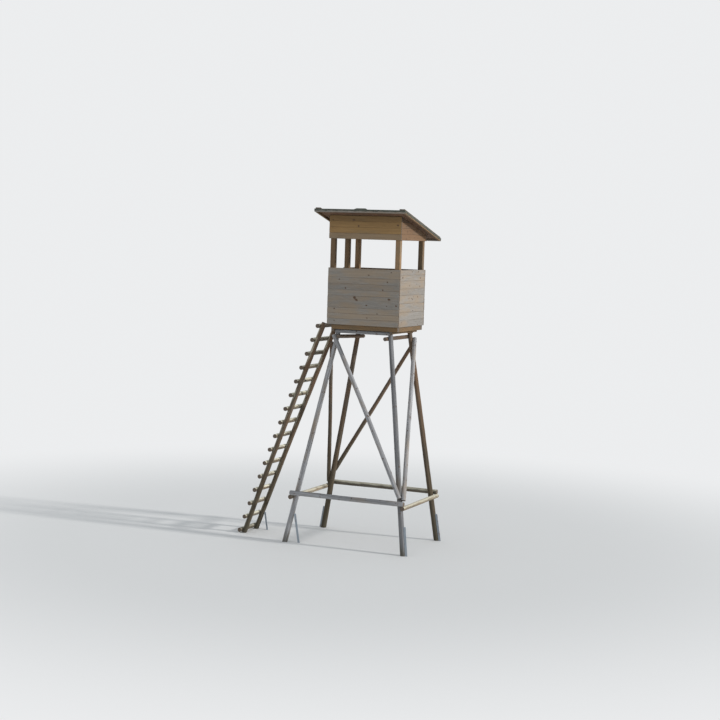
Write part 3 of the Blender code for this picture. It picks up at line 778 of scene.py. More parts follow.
def add_pole(shapes, line, seed, bow=(0, 0, 0), checks=2, bulge=BULGE, flat_foot=False, tone=0.5):
    foot, top, foot_radius, top_radius = line
    rng = np.random.default_rng(seed)
    length = float(np.linalg.norm(top - foot))
    axis = (top - foot) / length
    side, third = crosswise(axis, POLE_HINT)
    knots = whorls(rng, length)
    along = stations(length - 2 * END_BEVEL, knots) + END_BEVEL
    mean_radius = (foot_radius + top_radius) / 2
    starts = np.sort(rng.uniform(0, FULL_TURN, checks))
    columns = pole_columns(starts, mean_radius)
    z = along[:, None]
    share = z / length
    taper = foot_radius + (top_radius - foot_radius) * share
    twist = rng.uniform(-0.25, 0.25) * z + 0.12 * np.sin(rng.uniform(1, 2) * z + rng.uniform(0, 6))
    turned = np.array([column[0] for column in columns])[None, :] + twist
    radius = taper * (SMALLER + OVAL * np.cos(2 * turned + rng.uniform(0, 6)))
    for height, folds, reach in WAVER:
        radius = radius + height * waves(rng, z, turned * folds, reach)
    radius, mark = add_branches(radius, turned, z, knots, mean_radius)
    radius = np.minimum(radius, taper * bulge)
    sink_cracks(radius, columns, starts, along, share[:, 0], mean_radius)
    sway = SWAY * min(1.0, length / FULL_SWAY_LENGTH) * np.sin(math.pi * share)
    sway_x, sway_y = sway * swaying(rng, z), sway * swaying(rng, z)
    local_x, local_y = radius * np.cos(turned), radius * np.sin(turned)
    arch = (4 * share * (1 - share))[..., None] * np.array(bow)
    rows = foot + z[..., None] * axis + arch
    rows = rows + (local_x + sway_x)[..., None] * side + (local_y + sway_y)[..., None] * third
    if flat_foot:
        kept = np.nonzero(along > foot_radius * FOOT_CUT)[0]
        rows = rows[kept]
        down = rows[0] - axis * (rows[0][:, 2:] / axis[2])
        rows = np.concatenate([down[None], rows])
        kept = np.concatenate([[0], kept])
        local_x, local_y, mark, z = local_x[kept], local_y[kept], mark[kept], z[kept]
    grain = np.stack([local_x, local_y, z + 0 * local_x + seed * GRAIN_STEP], -1)
    shapes.sweep(rows, grain, mark, [0] * rows.shape[1], 1, flat_foot, tone)


def dress_pole(node, seed, wood, slot, **options):
    shapes = Shapes()
    add_pole(shapes, pole_line(node), seed, **options)
    return shapes.piece("dressed_" + node, pick(wood, "end"), slot, node)


print("a pole may bulge by", round((BULGE - 1) * 100, 1), "percent")

# %% [markdown]
# The four legs carry everything. The two front ones stand in rain and sun and are silver, the
# two behind are browner. Each pole has its own seed, so no two have the same branches.

# %% Legs
CORNERS = ("front_left", "front_right", "back_left", "back_right")
LEGS = (("silver_pole", 0.95), ("silver_pole", 0.0), ("brown_pole", 0.25), ("brown_pole", 0.35))
for number, (corner, (wood, tone)) in enumerate(zip(CORNERS, LEGS)):
    leg = dress_pole("leg_" + corner, 10 + number, wood, "pole_wood", flat_foot=True, checks=3, tone=tone)
    print(leg.name, len(leg.data.polygons), "faces")

# %% [markdown]
# Ring poles, head poles and braces are thinner stems, nailed across the legs. Those in front
# and the brace on the right are silver like the front legs. The rest of the low ring is pale
# on top, partly worn and partly painted light, and all the others, under the cabin, behind and
# on the left, are brown. The brace in front has a slight bow.

# %% Cross poles and braces
FRONT_BRACE_BOW = 0.03
CROSS_POLES = (
    ("ring_pole_front", "silver_pole", 0.8),
    ("ring_pole_back", "ring_pole", 0.1),
    ("ring_pole_left", "ring_pole", 1.0),
    ("ring_pole_right", "ring_pole", 0.9),
    # The front head pole is set darker, as painted shade under the floor beam.
    ("head_pole_front", "silver_pole", 0.3),
    ("head_pole_back", "brown_pole", 0.3),
    ("head_pole_left", "brown_pole", 0.2),
    ("head_pole_right", "brown_pole", 0.15),
    ("brace_right", "silver_pole", 1.0),
    ("brace_back", "brown_pole", 0.35),
    ("brace_left", "brown_pole", 0.0),
)
for number, (node, wood, tone) in enumerate(CROSS_POLES):
    dress_pole(node, 30 + number, wood, "cross_wood", tone=tone)
dress_pole("brace_front", 50, "silver_pole", "cross_wood", bow=(0, 0, FRONT_BRACE_BOW), tone=0.7)
print(len(CROSS_POLES) + 1, "cross poles")

# %% [markdown]
# The ladder has two rails with a slight bow and sixteen rungs, each a short length of stem
# sawn off at both ends. The rungs are pale on top, partly worn by boots and partly painted
# light, and the rails carry painted light on their upper side. A rung stays a hair thinner
# than the model's, so that it never grows out of the place that it was fitted to.

# %% Ladder
RAIL_BOW = 0.012
RUNG_BULGE = 0.99
RAILS = ("ladder_rail_front", "ladder_rail_back")
RUNGS = ["rung_" + str(number).zfill(2) for number in range(1, 17)]


def rail_bow():
    foot, top = pole_line(RAILS[0])[:2]
    angle = math.atan2(top[2] - foot[2], top[0] - foot[0])
    return (-RAIL_BOW * math.sin(angle), 0, RAIL_BOW * math.cos(angle))


for number, node in enumerate(RAILS):
    dress_pole(node, 60 + number, "ladder_pole", "pole_wood", bow=rail_bow(), flat_foot=True, tone=0.2)
for number, node in enumerate(RUNGS, 1):
    dress_pole(node, 70 + number, "rung_wood", "cross_wood", checks=1 + number % 2, bulge=RUNG_BULGE)
print(len(RUNGS), "rungs")

# %% [markdown]
# Where a branch crossed a board, it has a knot: a hard brown disc that stands up a hair from
# the weathered wood. The discs are real geometry, because the rim of a knot is sharp. A disc
# and a nail's head have the same build, rings of points that narrow to a tip, so one function
# lists the faces of both. Each is closed underneath, so that it is a solid body of its own.

# %% Knots
KNOT_SIDES = 18
KNOT_LEVELS = ((1.0, -0.0012), (0.92, 0.0), (0.55, 0.0004), (0.2, 0.0003))
KNOT_TIP = -0.0002
KNOT_LONG = 1.25
END, KNOT = 2, 3


def dome_faces(levels, sides):
    """Faces of stacked rings, closed by a tip on top and by one flat face below."""
    side = np.arange(sides)
    after = (side + 1) % sides
    faces = []
    for low in range(0, (levels - 1) * sides, sides):
        faces += zip(low + side, low + after, low + sides + after, low + sides + side)
    top = (levels - 1) * sides
    faces += zip(top + side, top + after, np.full(sides, levels * sides))
    return faces + [tuple(range(sides))[::-1]]


def add_knot(shapes, middle, axis, across, out, size, rng):
    """A slightly domed oval disc that just shows above the board."""
    around = np.linspace(0, FULL_TURN, KNOT_SIDES, endpoint=False)
    uneven = 1 + 0.07 * np.sin(2 * around + rng.uniform(0, 6))
    uneven += 0.04 * np.sin(5 * around + rng.uniform(0, 6))
    points, grain = [], []
    for reach, height in KNOT_LEVELS:
        u = size * KNOT_LONG * reach * uneven * np.cos(around)
        v = size * reach * uneven * np.sin(around)
        points.append(middle + u[:, None] * axis + v[:, None] * across + height * out)
        grain.append(np.stack([u, v, 0 * u + rng.uniform(0, 9)], -1))
    points.append([middle + KNOT_TIP * out])
    grain.append([(0, 0, 0)])
    faces = dome_faces(len(KNOT_LEVELS), KNOT_SIDES)
    if np.dot(np.cross(axis, across), out) < 0:
        faces = [face[::-1] for face in faces]
    shapes.add(np.concatenate(points), np.concatenate(grain), faces, [KNOT] * len(faces))


def random_knots(rng, length, low, high, per_metre):
    """Knots of a board, away from its edges: place along it, place across it and size."""
    found = []
    for _ in range(rng.poisson(length * per_metre)):
        size = rng.uniform(0.007, 0.017)
        if high - low > 4 * size:
            along = rng.uniform(0.05, length - 0.05)
            found.append((along, rng.uniform(low + 2 * size, high - 2 * size), size))
    return found


print("a knot has", len(dome_faces(len(KNOT_LEVELS), KNOT_SIDES)), "faces")

# %% [markdown]
# A sawn board is a sweep of thin oblongs with broken corners. Its edges waver by a millimetre
# or two on the outside, its face cups, and its fibres bend round each knot: the grain that the
# material reads is pushed aside there. The long corners carry a share of the dark knot mark,
# as painted shade in the seams.

# %% A sawn board
CORNER = 0.003
BOARD_STEP = 0.03
FACE_COLUMNS = 7
# Painted shade in the seams between boards.
SEAM_SHADE = 0.5
HALO = 0.7
EDGE_WAVER, CUP, FACE_WAVE = 0.0006, 0.0006, 0.0005
KNOT_SUNK = 0.0005
across_face = np.linspace(0, 1, FACE_COLUMNS)
LOOP = [(u, 0.0, False) for u in across_face] + [(1.0, 0.0, True), (1.0, 1.0, True)]
LOOP += [(u, 1.0, False) for u in across_face[::-1]] + [(0.0, 1.0, True), (0.0, 0.0, True)]


def spread_edge(edge, share):
    """An edge as one height for every station: given as one number, two ends or all of them."""
    if np.ndim(edge) == 0:
        return np.full(len(share), float(edge))
    return np.interp(share, (0, 1), edge) if len(edge) == 2 else np.asarray(edge, float)


def worn_edge(along, slow, fast, phases):
    return 1 + 0.7 * np.sin(along * slow + phases[0]) + 0.3 * np.sin(along * fast + phases[1])


def bend_grain(grain, mark, knots):
    """Pushes the fibres aside at each knot, and marks a brown halo round it."""
    for knot_along, knot_across, size in knots:
        gap_along = (grain[..., 2] - knot_along) / (size * 2.8)
        gap_across = (grain[..., 0] - knot_across) / (size * 1.6)
        push = np.exp(-(gap_along**2) - gap_across**2) * size * 0.6
        grain[..., 0] -= np.tanh(gap_across * 3) * push
        mark = np.maximum(mark, HALO * np.exp(-((gap_along / 0.7) ** 2) - gap_across**2))
    return mark


def add_plank(shapes, start, end, across, out, edges, thickness, rng, faces=(0, 0), knots=(),
              ripple=1.0, corner_shade=0.0, tone=None):
    """A sawn board from start to end. edges are its low and high edge across the grain.

    faces are the finishes of its inner and its outer side, and a share of painted shade darkens
    its long corners."""
    start, end, across, out = (np.asarray(v, float) for v in (start, end, across, out))
    length = float(np.linalg.norm(end - start))
    axis = (end - start) / length
    along = np.linspace(END_BEVEL, length - END_BEVEL, max(3, int(length / BOARD_STEP)))
    phase = rng.uniform(0, 6, 6)
    waver = EDGE_WAVER * ripple
    straight_low, straight_high = (spread_edge(edge, along / length) for edge in edges)
    worn_low = waver * worn_edge(along, 5.1, 17, phase[:2])
    worn_high = waver * worn_edge(along, 4.3, 19, phase[2:])
    rows, grain, mark = [], [], []
    for u, level, corner in LOOP:
        low, high = straight_low + level * worn_low, straight_high - level * worn_high
        width = high - low
        if corner:
            place = low + u * width
            depth = CORNER + level * (thickness - 2 * CORNER) + 0 * along
        else:
            place = low + CORNER + u * (width - 2 * CORNER)
            cup = CUP * ripple * (2 * u - 1) ** 2
            wave = FACE_WAVE * ripple * (1 + np.sin(along * 9 + u * 7 + phase[4]))
            depth = level * thickness + (1 - 2 * level) * (cup + wave)
        rows.append(start + along[:, None] * axis + place[:, None] * across + depth[:, None] * out)
        grain.append(np.stack([place, depth, along], -1))
        # Long corners get painted shade.
        mark.append(np.full(len(along), corner_shade if corner else 0.0))
    rows, grain, mark = np.stack(rows, 1), np.stack(grain, 1), np.stack(mark, 1)
    mark = bend_grain(grain, mark, knots)
    grain += np.array([rng.uniform(1, 9), rng.uniform(1, 9), rng.uniform(0, 90)])
    finish = [faces[0]] * (FACE_COLUMNS - 1) + [faces[1]] * (len(LOOP) - FACE_COLUMNS + 1)
    if np.dot(np.cross(across, out), axis) < 0:
        rows, grain, mark = rows[:, ::-1], grain[:, ::-1], mark[:, ::-1]
        finish = finish[-2::-1] + finish[-1:]
    shapes.sweep(rows, grain, mark, finish, END, tone=rng.uniform(0, 1) if tone is None else tone)
    for knot_along, knot_across, size in knots:
        middle = start + axis * knot_along + across * knot_across + out * (thickness - KNOT_SUNK)
        add_knot(shapes, middle, axis, across, out, size, rng)


print("a board's loop has", len(LOOP), "points")

# %% [markdown]
# The walls are horizontal boards, nailed from outside to the corner posts. The rows of the
# front are of the widths that show in the picture, and so are the places of its larger knots.
# Each wall is one mesh of separate boards that touch inside and have worn edges outside.

# %% Front wall and back wall
ROW_SHARES = (0.163, 0.108, 0.108, 0.104, 0.212, 0.101, 0.098, 0.106)
# share of the width, share of the height from the top, size in millimetres
FRONT_KNOTS = (
    (0.57, 0.11, 12), (0.16, 0.20, 11), (0.45, 0.20, 9), (0.83, 0.22, 12), (0.25, 0.35, 13),
    (0.77, 0.36, 13), (0.38, 0.49, 22), (0.41, 0.55, 19), (0.86, 0.52, 20), (0.96, 0.63, 14),
    (0.55, 0.64, 14), (0.83, 0.64, 10), (0.10, 0.72, 12), (0.70, 0.78, 10), (0.565, 0.86, 10),
    (0.10, 0.93, 10), (0.88, 0.05, 10),
)
FRONT_TONES = (0.65, 0.5, 0.1, 0.5, 0.35, 0.7, 0.75, 0.65)
SEAM = 0.0002
TRIM = 0.003
WALL_KNOTS = 1.6
WALL_FINISH = pick("grey_board", "sheltered_shaded_board", "end", "knot")


def row_edges(low, high, shares):
    """Heights of the seams from the top down."""
    return high - (high - low) * np.concatenate([[0], np.cumsum(shares) / sum(shares)])


def knots_in_row(knots, low, high):
    """The knots that belong to a row, each moved so that it keeps off both edges."""
    own = [knot for knot in knots if low < knot[1] < high]
    return [(u, min(max(v, low + 1.3 * size), high - 1.3 * size), size) for u, v, size in own]


def wall_boards(shapes, start, end, out, edges, tones, rng, knots=None):
    """Horizontal boards from start to end, one for each pair of heights, with the tone of each."""
    start, end = np.asarray(start, float), np.asarray(end, float)
    length = float(np.linalg.norm(end - start))
    axis = (end - start) / length
    for top, bottom, tone in zip(edges, edges[1:], tones):
        low, high = bottom + SEAM / 2, top - SEAM / 2
        if knots is None:
            own = random_knots(rng, length, low, high, WALL_KNOTS)
        else:
            own = knots_in_row(knots, low, high)
        trim = rng.uniform(0, TRIM, 2)
        ends = start + axis * trim[0], end - axis * trim[1]
        options = {"faces": (1, 0), "knots": own, "corner_shade": SEAM_SHADE, "tone": tone}
        add_plank(shapes, *ends, (0, 0, 1), out, (low, high), cladding, rng, **options)


def make_front_and_back():
    rng = np.random.default_rng(5)
    height = parapet_z - floor_z
    knots = [(u * 2 * half_width, parapet_z - v * height, size / 1000) for u, v, size in FRONT_KNOTS]
    left, right = wall_low.x, wall_high.x
    for face, sign, y, x0, x1, own in (
        ("front", -1, wall_high.y, left, right, knots),
        ("back", 1, back_low.y, right, left, None),
    ):
        edges = row_edges(floor_z, parapet_z, ROW_SHARES[::-sign])
        boards = Shapes()
        wall_boards(boards, (x0, y, 0), (x1, y, 0), (0, sign, 0), edges, FRONT_TONES[::-sign], rng, own)
        boards.piece("boards_parapet_" + face, WALL_FINISH, "board_wood", "parapet_" + face)


make_front_and_back()
print(len(ROW_SHARES), "rows of boards in front")

# %% [markdown]
# Over the windows, the boards of the sides are cut to the roof's slope, so each one ends where
# the slope comes down to it. Cutting them with a Boolean would leave long thin faces. Here the
# upper edge of the sweep simply follows the slope instead.

# %% Boards under the slope
BAND_ROW = 0.113
# Row tones from the bottom up: the top rows are darker, as painted shade under the roof's edge.
BAND_SHADE_TONES = (0.85, 0.75, 0.65, 0.0, 0.0)
BAND_KNOTS_PER_METRE = 1.2
SHORTEST = 0.02


def under_roof(y):
    """Height of the band's upper edge at a place y."""
    return roof_middle - slope * (y - middle_y)


def add_cut_board(shapes, start, reach_y, out, ends, rng, knots, options):
    """One plank whose upper edge is level first and then follows the roof."""
    low, high = ends
    length = reach_y - start[1]
    along = np.linspace(END_BEVEL, length - END_BEVEL, max(3, int(length / BOARD_STEP)))
    upper = np.minimum(high, under_roof(start[1] + along) - SEAM / 2)
    upper = np.maximum(upper, low + 3 * CORNER)
    end = (start[0], reach_y, 0)
    add_plank(shapes, start, end, (0, 0, 1), out, (low, upper), cladding, rng, knots=knots, **options)


def sloped_board(shapes, x, front_y, full_y, reach_y, out, low, top, rng, options):
    """A side board: full height up to full_y, then cut down by the slope to reach_y."""
    start, ends = (x, front_y, 0), (low, top - SEAM / 2)
    if full_y > front_y + SHORTEST:
        knots = random_knots(rng, full_y - front_y, low, top - SEAM, BAND_KNOTS_PER_METRE)
        if reach_y > full_y + SHORTEST:
            add_cut_board(shapes, start, reach_y, out, ends, rng, knots, options)
        else:
            end = (x, full_y, 0)
            add_plank(shapes, start, end, (0, 0, 1), out, ends, cladding, rng, knots=knots, **options)
    elif reach_y > front_y + SHORTEST:
        add_cut_board(shapes, start, reach_y, out, ends, rng, [], options)


def band_rows(shapes, start, end, out, rng, knots=None, lowest=0):
    """Boards over the windows. The lowest row, which rain reaches, gets the finish lowest."""
    start, end = np.asarray(start, float), np.asarray(end, float)
    length = float(np.linalg.norm(end - start))
    front_y, back_y = start[1], end[1]
    highest = under_roof(front_y)
    bottom = band_z
    while bottom < highest - 0.01:
        top = min(bottom + BAND_ROW, highest)
        if highest - top < 0.03:
            top = highest
        low = bottom + SEAM / 2
        row = round((bottom - band_z) / BAND_ROW)
        options = {"corner_shade": SEAM_SHADE, "tone": BAND_SHADE_TONES[row], "faces": (1, 0 if row else lowest)}
        if front_y == back_y:
            high = min(top, under_roof(back_y)) - SEAM / 2
            if knots:
                own = knots_in_row(knots, low, high)
            else:
                own = random_knots(rng, length, low, high, BAND_KNOTS_PER_METRE)
            add_plank(shapes, start, end, (0, 0, 1), out, (low, high), cladding, rng, knots=own, **options)
        else:
            reach_y = min(back_y, middle_y + (roof_middle - bottom - 0.004) / slope)
            full_y = min(back_y, middle_y + (roof_middle - top) / slope)
            sloped_board(shapes, start[0], front_y, full_y, reach_y, out, low, top, rng, options)
        bottom = top


print("side boards start at", [round(under_roof(wall_low.y), 3), round(under_roof(back_high.y), 3)])

# %% [markdown]
# The side walls fit between the front and the back one, and the bands over the windows stand
# on the same lines. The four bands are ochre in front and behind, where the eaves still let
# some light in, and russet at the sides: a darker copy of the ochre, painted shade of the
# side eaves.

# %% Side walls and bands
SIDE_ROWS, SIDE_ROW_SHARES = 8, (0.09, 0.16)
SIDE_TONES = (0.5, 0.55, 0.6, 0.3, 0.5, 0.45, 0.4, 0.1)
# share of the width, height above the band's lower edge in metres, size in millimetres
BAND_KNOTS = ((0.05, 0.36, 11), (0.34, 0.345, 18), (0.41, 0.25, 15), (0.95, 0.28, 15))
BAND_FINISH = pick("ochre_board", "sheltered_shaded_board", "end", "knot", "rained_board")
# The side bands' russet paints the eaves' shade.
RUSSET_SHADE_FINISH = pick("russet_shade_board", "sheltered_shaded_board", "end", "knot")


def make_sides():
    rng = np.random.default_rng(8)
    for side, sign in (("left", -1), ("right", 1)):
        low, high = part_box("parapet_" + side)
        x = high.x if side == "left" else low.x
        boards = Shapes()
        edges = row_edges(floor_z, parapet_z, rng.uniform(*SIDE_ROW_SHARES, SIDE_ROWS))
        wall_boards(boards, (x, low.y, 0), (x, high.y, 0), (sign, 0, 0), edges, SIDE_TONES, rng)
        boards.piece("boards_parapet_" + side, WALL_FINISH, "board_wood", "parapet_" + side)
        low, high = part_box("band_" + side)
        band = Shapes()
        band_rows(band, (x, low.y, 0), (x, high.y, 0), (sign, 0, 0), rng)
        band.piece("boards_band_" + side, RUSSET_SHADE_FINISH, "board_wood", "band_" + side)
    for face, sign in (("front", -1), ("back", 1)):
        low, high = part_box("band_" + face)
        y = high.y if face == "front" else low.y
        knots = None
        if face == "front":
            knots = [(u * 2 * half_width, band_z + z, size / 1000) for u, z, size in BAND_KNOTS]
        band = Shapes()
        band_rows(band, (low.x, y, 0), (high.x, y, 0), (0, sign, 0), rng, knots, lowest=4)
        band.piece("boards_band_" + face, BAND_FINISH, "board_wood", "band_" + face)


make_sides()
print("walls done")

# %% [markdown]
# Posts and plates are squared timber, straight from the saw. They are swept like boards, but
# as thick as they are wide. The posts' heads and the plates follow the roof's slope: each is
# built square, and a small function then moves its points up or down to meet the slope.

# %% Cabin frame
TIMBER_FINISH = pick("sawn_post", "sawn_post", "end")
# Each post's tone paints light and shade: the front left one darker, the front right and back left ones
# lighter.
POST_LIGHT_TONES = (
    ("post_front_left", 0.05), ("post_front_right", 0.9), ("post_back_left", 0.95),
    ("post_back_right", 0.35), ("post_door", 0.35),
)


def add_beam(shapes, low, high, grain_axis, rng, tone=None, ripple=1.3, corner_shade=0.0, finish=0):
    """A squared timber that fills a box, its grain along one axis."""
    low, high = np.array(low, float), np.array(high, float)
    across, out = (grain_axis + 1) % 3, (grain_axis + 2) % 3
    start = low.copy()
    start[across] = 0
    end = start.copy()
    end[grain_axis] = high[grain_axis]
    unit = np.eye(3)
    edges, thickness = (low[across], high[across]), high[out] - low[out]
    options = {"faces": (finish, finish), "ripple": ripple, "corner_shade": corner_shade, "tone": tone}
    add_plank(shapes, start, end, unit[across], unit[out], edges, thickness, rng, **options)


def cut_to_roof(low, high):
    """Stretches a post so that its head follows the slope from the box's high front edge."""
    def place(points):
        share = (points[:, 2] - low.z) / (high.z - low.z)
        moved = points.copy()
        moved[:, 2] -= share * slope * (points[:, 1] - low.y)
        return moved
    return place


def lean_with_roof(high):
    """Shears a plate so that its underside and its top follow the slope."""
    def place(points):
        moved = points.copy()
        moved[:, 2] += slope * (high.y - points[:, 1])
        return moved
    return place


def make_cabin_frame():
    rng = np.random.default_rng(12)
    for node, tone in POST_LIGHT_TONES:
        low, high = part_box(node)
        post = Shapes(cut_to_roof(low, high))
        add_beam(post, low, high, 2, rng, tone)
        post.piece("timber_" + node, TIMBER_FINISH, "post_wood", node)
    for node in ("plate_front", "plate_back"):
        low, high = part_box(node)
        plate = Shapes(lean_with_roof(high))
        add_beam(plate, low, (high.x, high.y, high.z - slope * (high.y - low.y)), 0, rng)
        plate.piece("timber_" + node, TIMBER_FINISH, "post_wood", node)


make_cabin_frame()
print(len(POST_LIGHT_TONES), "posts and two plates")

# %% [markdown]
# Under the boards lies the floor: rims round the edge, two joists, a board at the door for
# the ladder to lean on, and two bearers on the legs. In the model it is one solid; here every
# timber is its own sweep. The floor boards run across the joists.

# %% Floor
RIM = 0.09
JOIST, JOISTS = 0.06, 2
SILL = 0.035
DECK_ROWS, DECK_KNOTS = 10, 1.0
# The second number paints shade on the floor timbers' long corners.
FLOOR_TONES, FLOOR_CORNER_SHADE = (0.1, 0.35), 0.2
deck_low, deck_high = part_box("floor_deck")
frame_low, frame_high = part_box("floor_frame")


def bearer_spans():
    """Low and high X of the two bearers, the lowest parts of the floor frame."""
    low_points = [v.co.x for v in nodes["floor_frame"].data.vertices if v.co.z < frame_low.z + 0.005]
    left = [x for x in low_points if x < middle_x]
    right = [x for x in low_points if x > middle_x]
    return (min(left), max(left)), (min(right), max(right))


def floor_timbers():
    """Low corner, high corner and grain axis of each timber."""
    low, high, top = frame_low, frame_high, floor_z
    bottom = floor_z - RIM
    spans = bearer_spans()
    left = spans[0][0]
    front, back = low.y + RIM, high.y - RIM
    timbers = [
        ((left, low.y, bottom), (high.x, front, top), 0),
        ((left, back, bottom), (high.x, high.y, top), 0),
        ((left, front, bottom), (left + RIM, back, top - SILL), 1),
        ((high.x - RIM, front, bottom), (high.x, back, top), 1),
        ((low.x, low.y, top - SILL), (left, high.y, top), 1),
        ((left, front, top - SILL), (left + RIM, back, top), 1),
    ]
    bay = (high.x - left - 2 * RIM - JOISTS * JOIST) / (JOISTS + 1)
    for number in range(1, JOISTS + 1):
        x = left + RIM + number * bay + (number - 1) * JOIST
        timbers.append(((x, front, bottom), (x + JOIST, back, top), 1))
    return timbers + [((span[0], low.y, low.z), (span[1], high.y, bottom), 1) for span in spans]


def make_floor():
    rng = np.random.default_rng(15)
    timbers = Shapes()
    for low, high, grain_axis in floor_timbers():
        add_beam(timbers, low, high, grain_axis, rng, rng.uniform(*FLOOR_TONES), corner_shade=FLOOR_CORNER_SHADE)
    timbers.piece("timbers_floor_frame", pick("floor_beam", "floor_beam", "end"), "beam_wood", "floor_frame")
    deck = Shapes()
    seams = np.linspace(deck_low.y, deck_high.y, DECK_ROWS + 1)
    start, end = (deck_low.x, 0, deck_low.z), (deck_high.x, 0, deck_low.z)
    for y0, y1 in zip(seams, seams[1:]):
        edges = (y0 + SEAM, y1 - SEAM)
        knots = random_knots(rng, deck_high.x - deck_low.x, *edges, DECK_KNOTS)
        options = {"faces": (1, 0), "knots": knots, "corner_shade": SEAM_SHADE}
        add_plank(deck, start, end, (0, 1, 0), (0, 0, 1), edges, deck_high.z - deck_low.z, rng, **options)
    finishes = pick("floor_beam", "sheltered_shaded_board", "end", "knot")
    deck.piece("boards_floor_deck", finishes, "deck_wood", "floor_deck")


make_floor()
print("floor of", len(floor_timbers()), "timbers and", DECK_ROWS, "boards")

# %% [markdown]
# The roof's boards run down the slope from plate to plate, and a batten under their rim keeps
# the edge straight. They are built flat in the roof's own space, where x runs across, s down
# the slope and h up from the boards' underside, and one function tilts them into place.

# %% Roof boards
ROOF_BOARD, ROOF_PLANK = 0.026, 0.022
EDGE_HIGH, EDGE_WIDE = 0.03, 0.04
EDGE_TONE, EDGE_RIPPLE = 0.3, 0.8
ROOF_ROWS, ROOF_KNOTS = 14, 1.2
CLEARANCE = 0.0003
roof_low, roof_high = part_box("roof_boards")
front_s = (roof_low.y - middle_y + EDGE_HIGH * math.sin(pitch)) / math.cos(pitch)
back_s = (roof_high.y - middle_y - ROOF_BOARD * math.sin(pitch)) / math.cos(pitch)


def on_roof(points):
    """Tilts points from the roof's own space into the stand's."""
    x, s, h = points.T
    y = middle_y + s * math.cos(pitch) + h * math.sin(pitch)
    z = roof_middle + CLEARANCE / math.cos(pitch) - s * math.sin(pitch) + h * math.cos(pitch)
    return np.stack([x, y, z], -1)


def make_roof_boards():
    rng = np.random.default_rng(21)
    roof = Shapes(on_roof)
    left, right = roof_low.x, roof_high.x
    seams = np.linspace(left, right, ROOF_ROWS + 1)
    start, end = (0, front_s, ROOF_PLANK), (0, back_s, ROOF_PLANK)
    for x0, x1 in zip(seams, seams[1:]):
        edges = (x0 + SEAM, x1 - SEAM)
        knots = random_knots(rng, back_s - front_s, *edges, ROOF_KNOTS)
        options = {"faces": (1, 0), "knots": knots, "corner_shade": SEAM_SHADE}
        add_plank(roof, start, end, (1, 0, 0), (0, 0, -1), edges, ROOF_PLANK, rng, **options)
    front, back = front_s + EDGE_WIDE, back_s - EDGE_WIDE
    for x0, x1, s0, s1, grain_axis, finish in (
        (left, right, front_s, front, 0, 4),
        (left, right, back, back_s, 0, 4),
        (left, left + EDGE_WIDE, front, back, 1, 5),
        (right - EDGE_WIDE, right, front, back, 1, 5),
    ):
        low, high = (x0, s0, -EDGE_HIGH), (x1, s1, 0)
        add_beam(roof, low, high, grain_axis, rng, EDGE_TONE, EDGE_RIPPLE, finish=finish)
    finishes = pick("eaves_shade_board", "eaves_shade_board", "end", "knot", "grey_board", "sawn_post")
    roof.piece("boards_roof", finishes, "board_wood", "roof_boards")


make_roof_boards()
print("roof slope length", round(back_s - front_s, 3))

# %% [markdown]
# The felt is one sheet of two overlapping strips, turned down over the edge and nailed. It
# could be a flat plate, but then it would look like sheet metal: real felt follows every
# board and buckles a little. So the sheet is a grid of points, raised and lowered by slow
# waves, with a step where the strips overlap, a low hump where it was patched in the middle,
# and an uneven lower edge.

# %% The felt's points
FELT = 0.004
LIP = 0.036
LIP_LEVELS = (1.0, 0.66, 0.33, 0.1)
FELT_STEP = 0.022
FELT_WAVE, LIP_WAVE = 0.0016, 0.0012
HUMP_FROM, HUMP_TO, HUMP_HIGH = -0.10, 0.155, 0.022
OVERLAP_SHARE, OVERLAP_STEP = 0.46, 0.0025
low_x, high_x = roof_low.x - FELT, roof_high.x + FELT
low_s, high_s = front_s - FELT, back_s + FELT
overlap_s = low_s + (high_s - low_s) * OVERLAP_SHARE


def felt_path(low, high, extra=()):
    """Positions across the felt with the drop of each: down one lip, over the top, down the other."""
    inside = np.linspace(low + 0.006, high - 0.006, int((high - low) / FELT_STEP))
    inside = np.unique(np.concatenate([inside, extra]))
    lip = [(low, share * LIP + 0.003) for share in LIP_LEVELS] + [(low + 0.0012, 0.0012)]
    down = [(high, drop) if place == low else (high - 0.0012, drop) for place, drop in lip[::-1]]
    return lip + [(value, 0.0) for value in inside] + down


def felt_point(x, drop_x, s, drop_s, wave):
    """One point of the sheet in the roof's space."""
    sway = sum(math.sin(a * x + b * s + c) for a, b, c in wave) / len(wave)
    drop = max(drop_x, drop_s)
    h = ROOF_BOARD + FELT - FELT_WAVE + FELT_WAVE * sway
    if drop == 0:
        u = (x - middle_x - HUMP_FROM) / (HUMP_TO - HUMP_FROM)
        if 0 < u < 1:
            h += HUMP_HIGH * min(1.0, 9 * min(u, 1 - u)) ** 0.7
        h += OVERLAP_STEP * (s < overlap_s) - OVERLAP_STEP
    else:
        ragged = 0.12 * math.sin(31 * (x + s)) + 0.08 * math.sin(83 * (x - s))
        h -= drop * (0.9 + ragged * (drop > 0.01))
    inward = (FELT_WAVE + LIP_WAVE * sway) * min(1.0, drop * 60)
    x_in = inward * (1 if x < middle_x else -1) * (drop_x > 0)
    s_in = inward * (1 if s < 0 else -1) * (drop_s > 0)
    return x + x_in, s + s_in, h


path_x = felt_path(low_x, high_x)
path_s = felt_path(low_s, high_s, (overlap_s - 0.002, overlap_s + 0.002))
print("felt grid of", len(path_x), "by", len(path_s), "points")

# %% [markdown]
# The points become one sheet. At the four corners of the roof both lips would meet in a
# crumpled fold, so the felt is cut out there, as a roofer does it. Solidify then gives the
# sheet its few millimetres.

# %% Felt
FELT_SHEET = 0.0024
FELT_SHARP = math.radians(45)


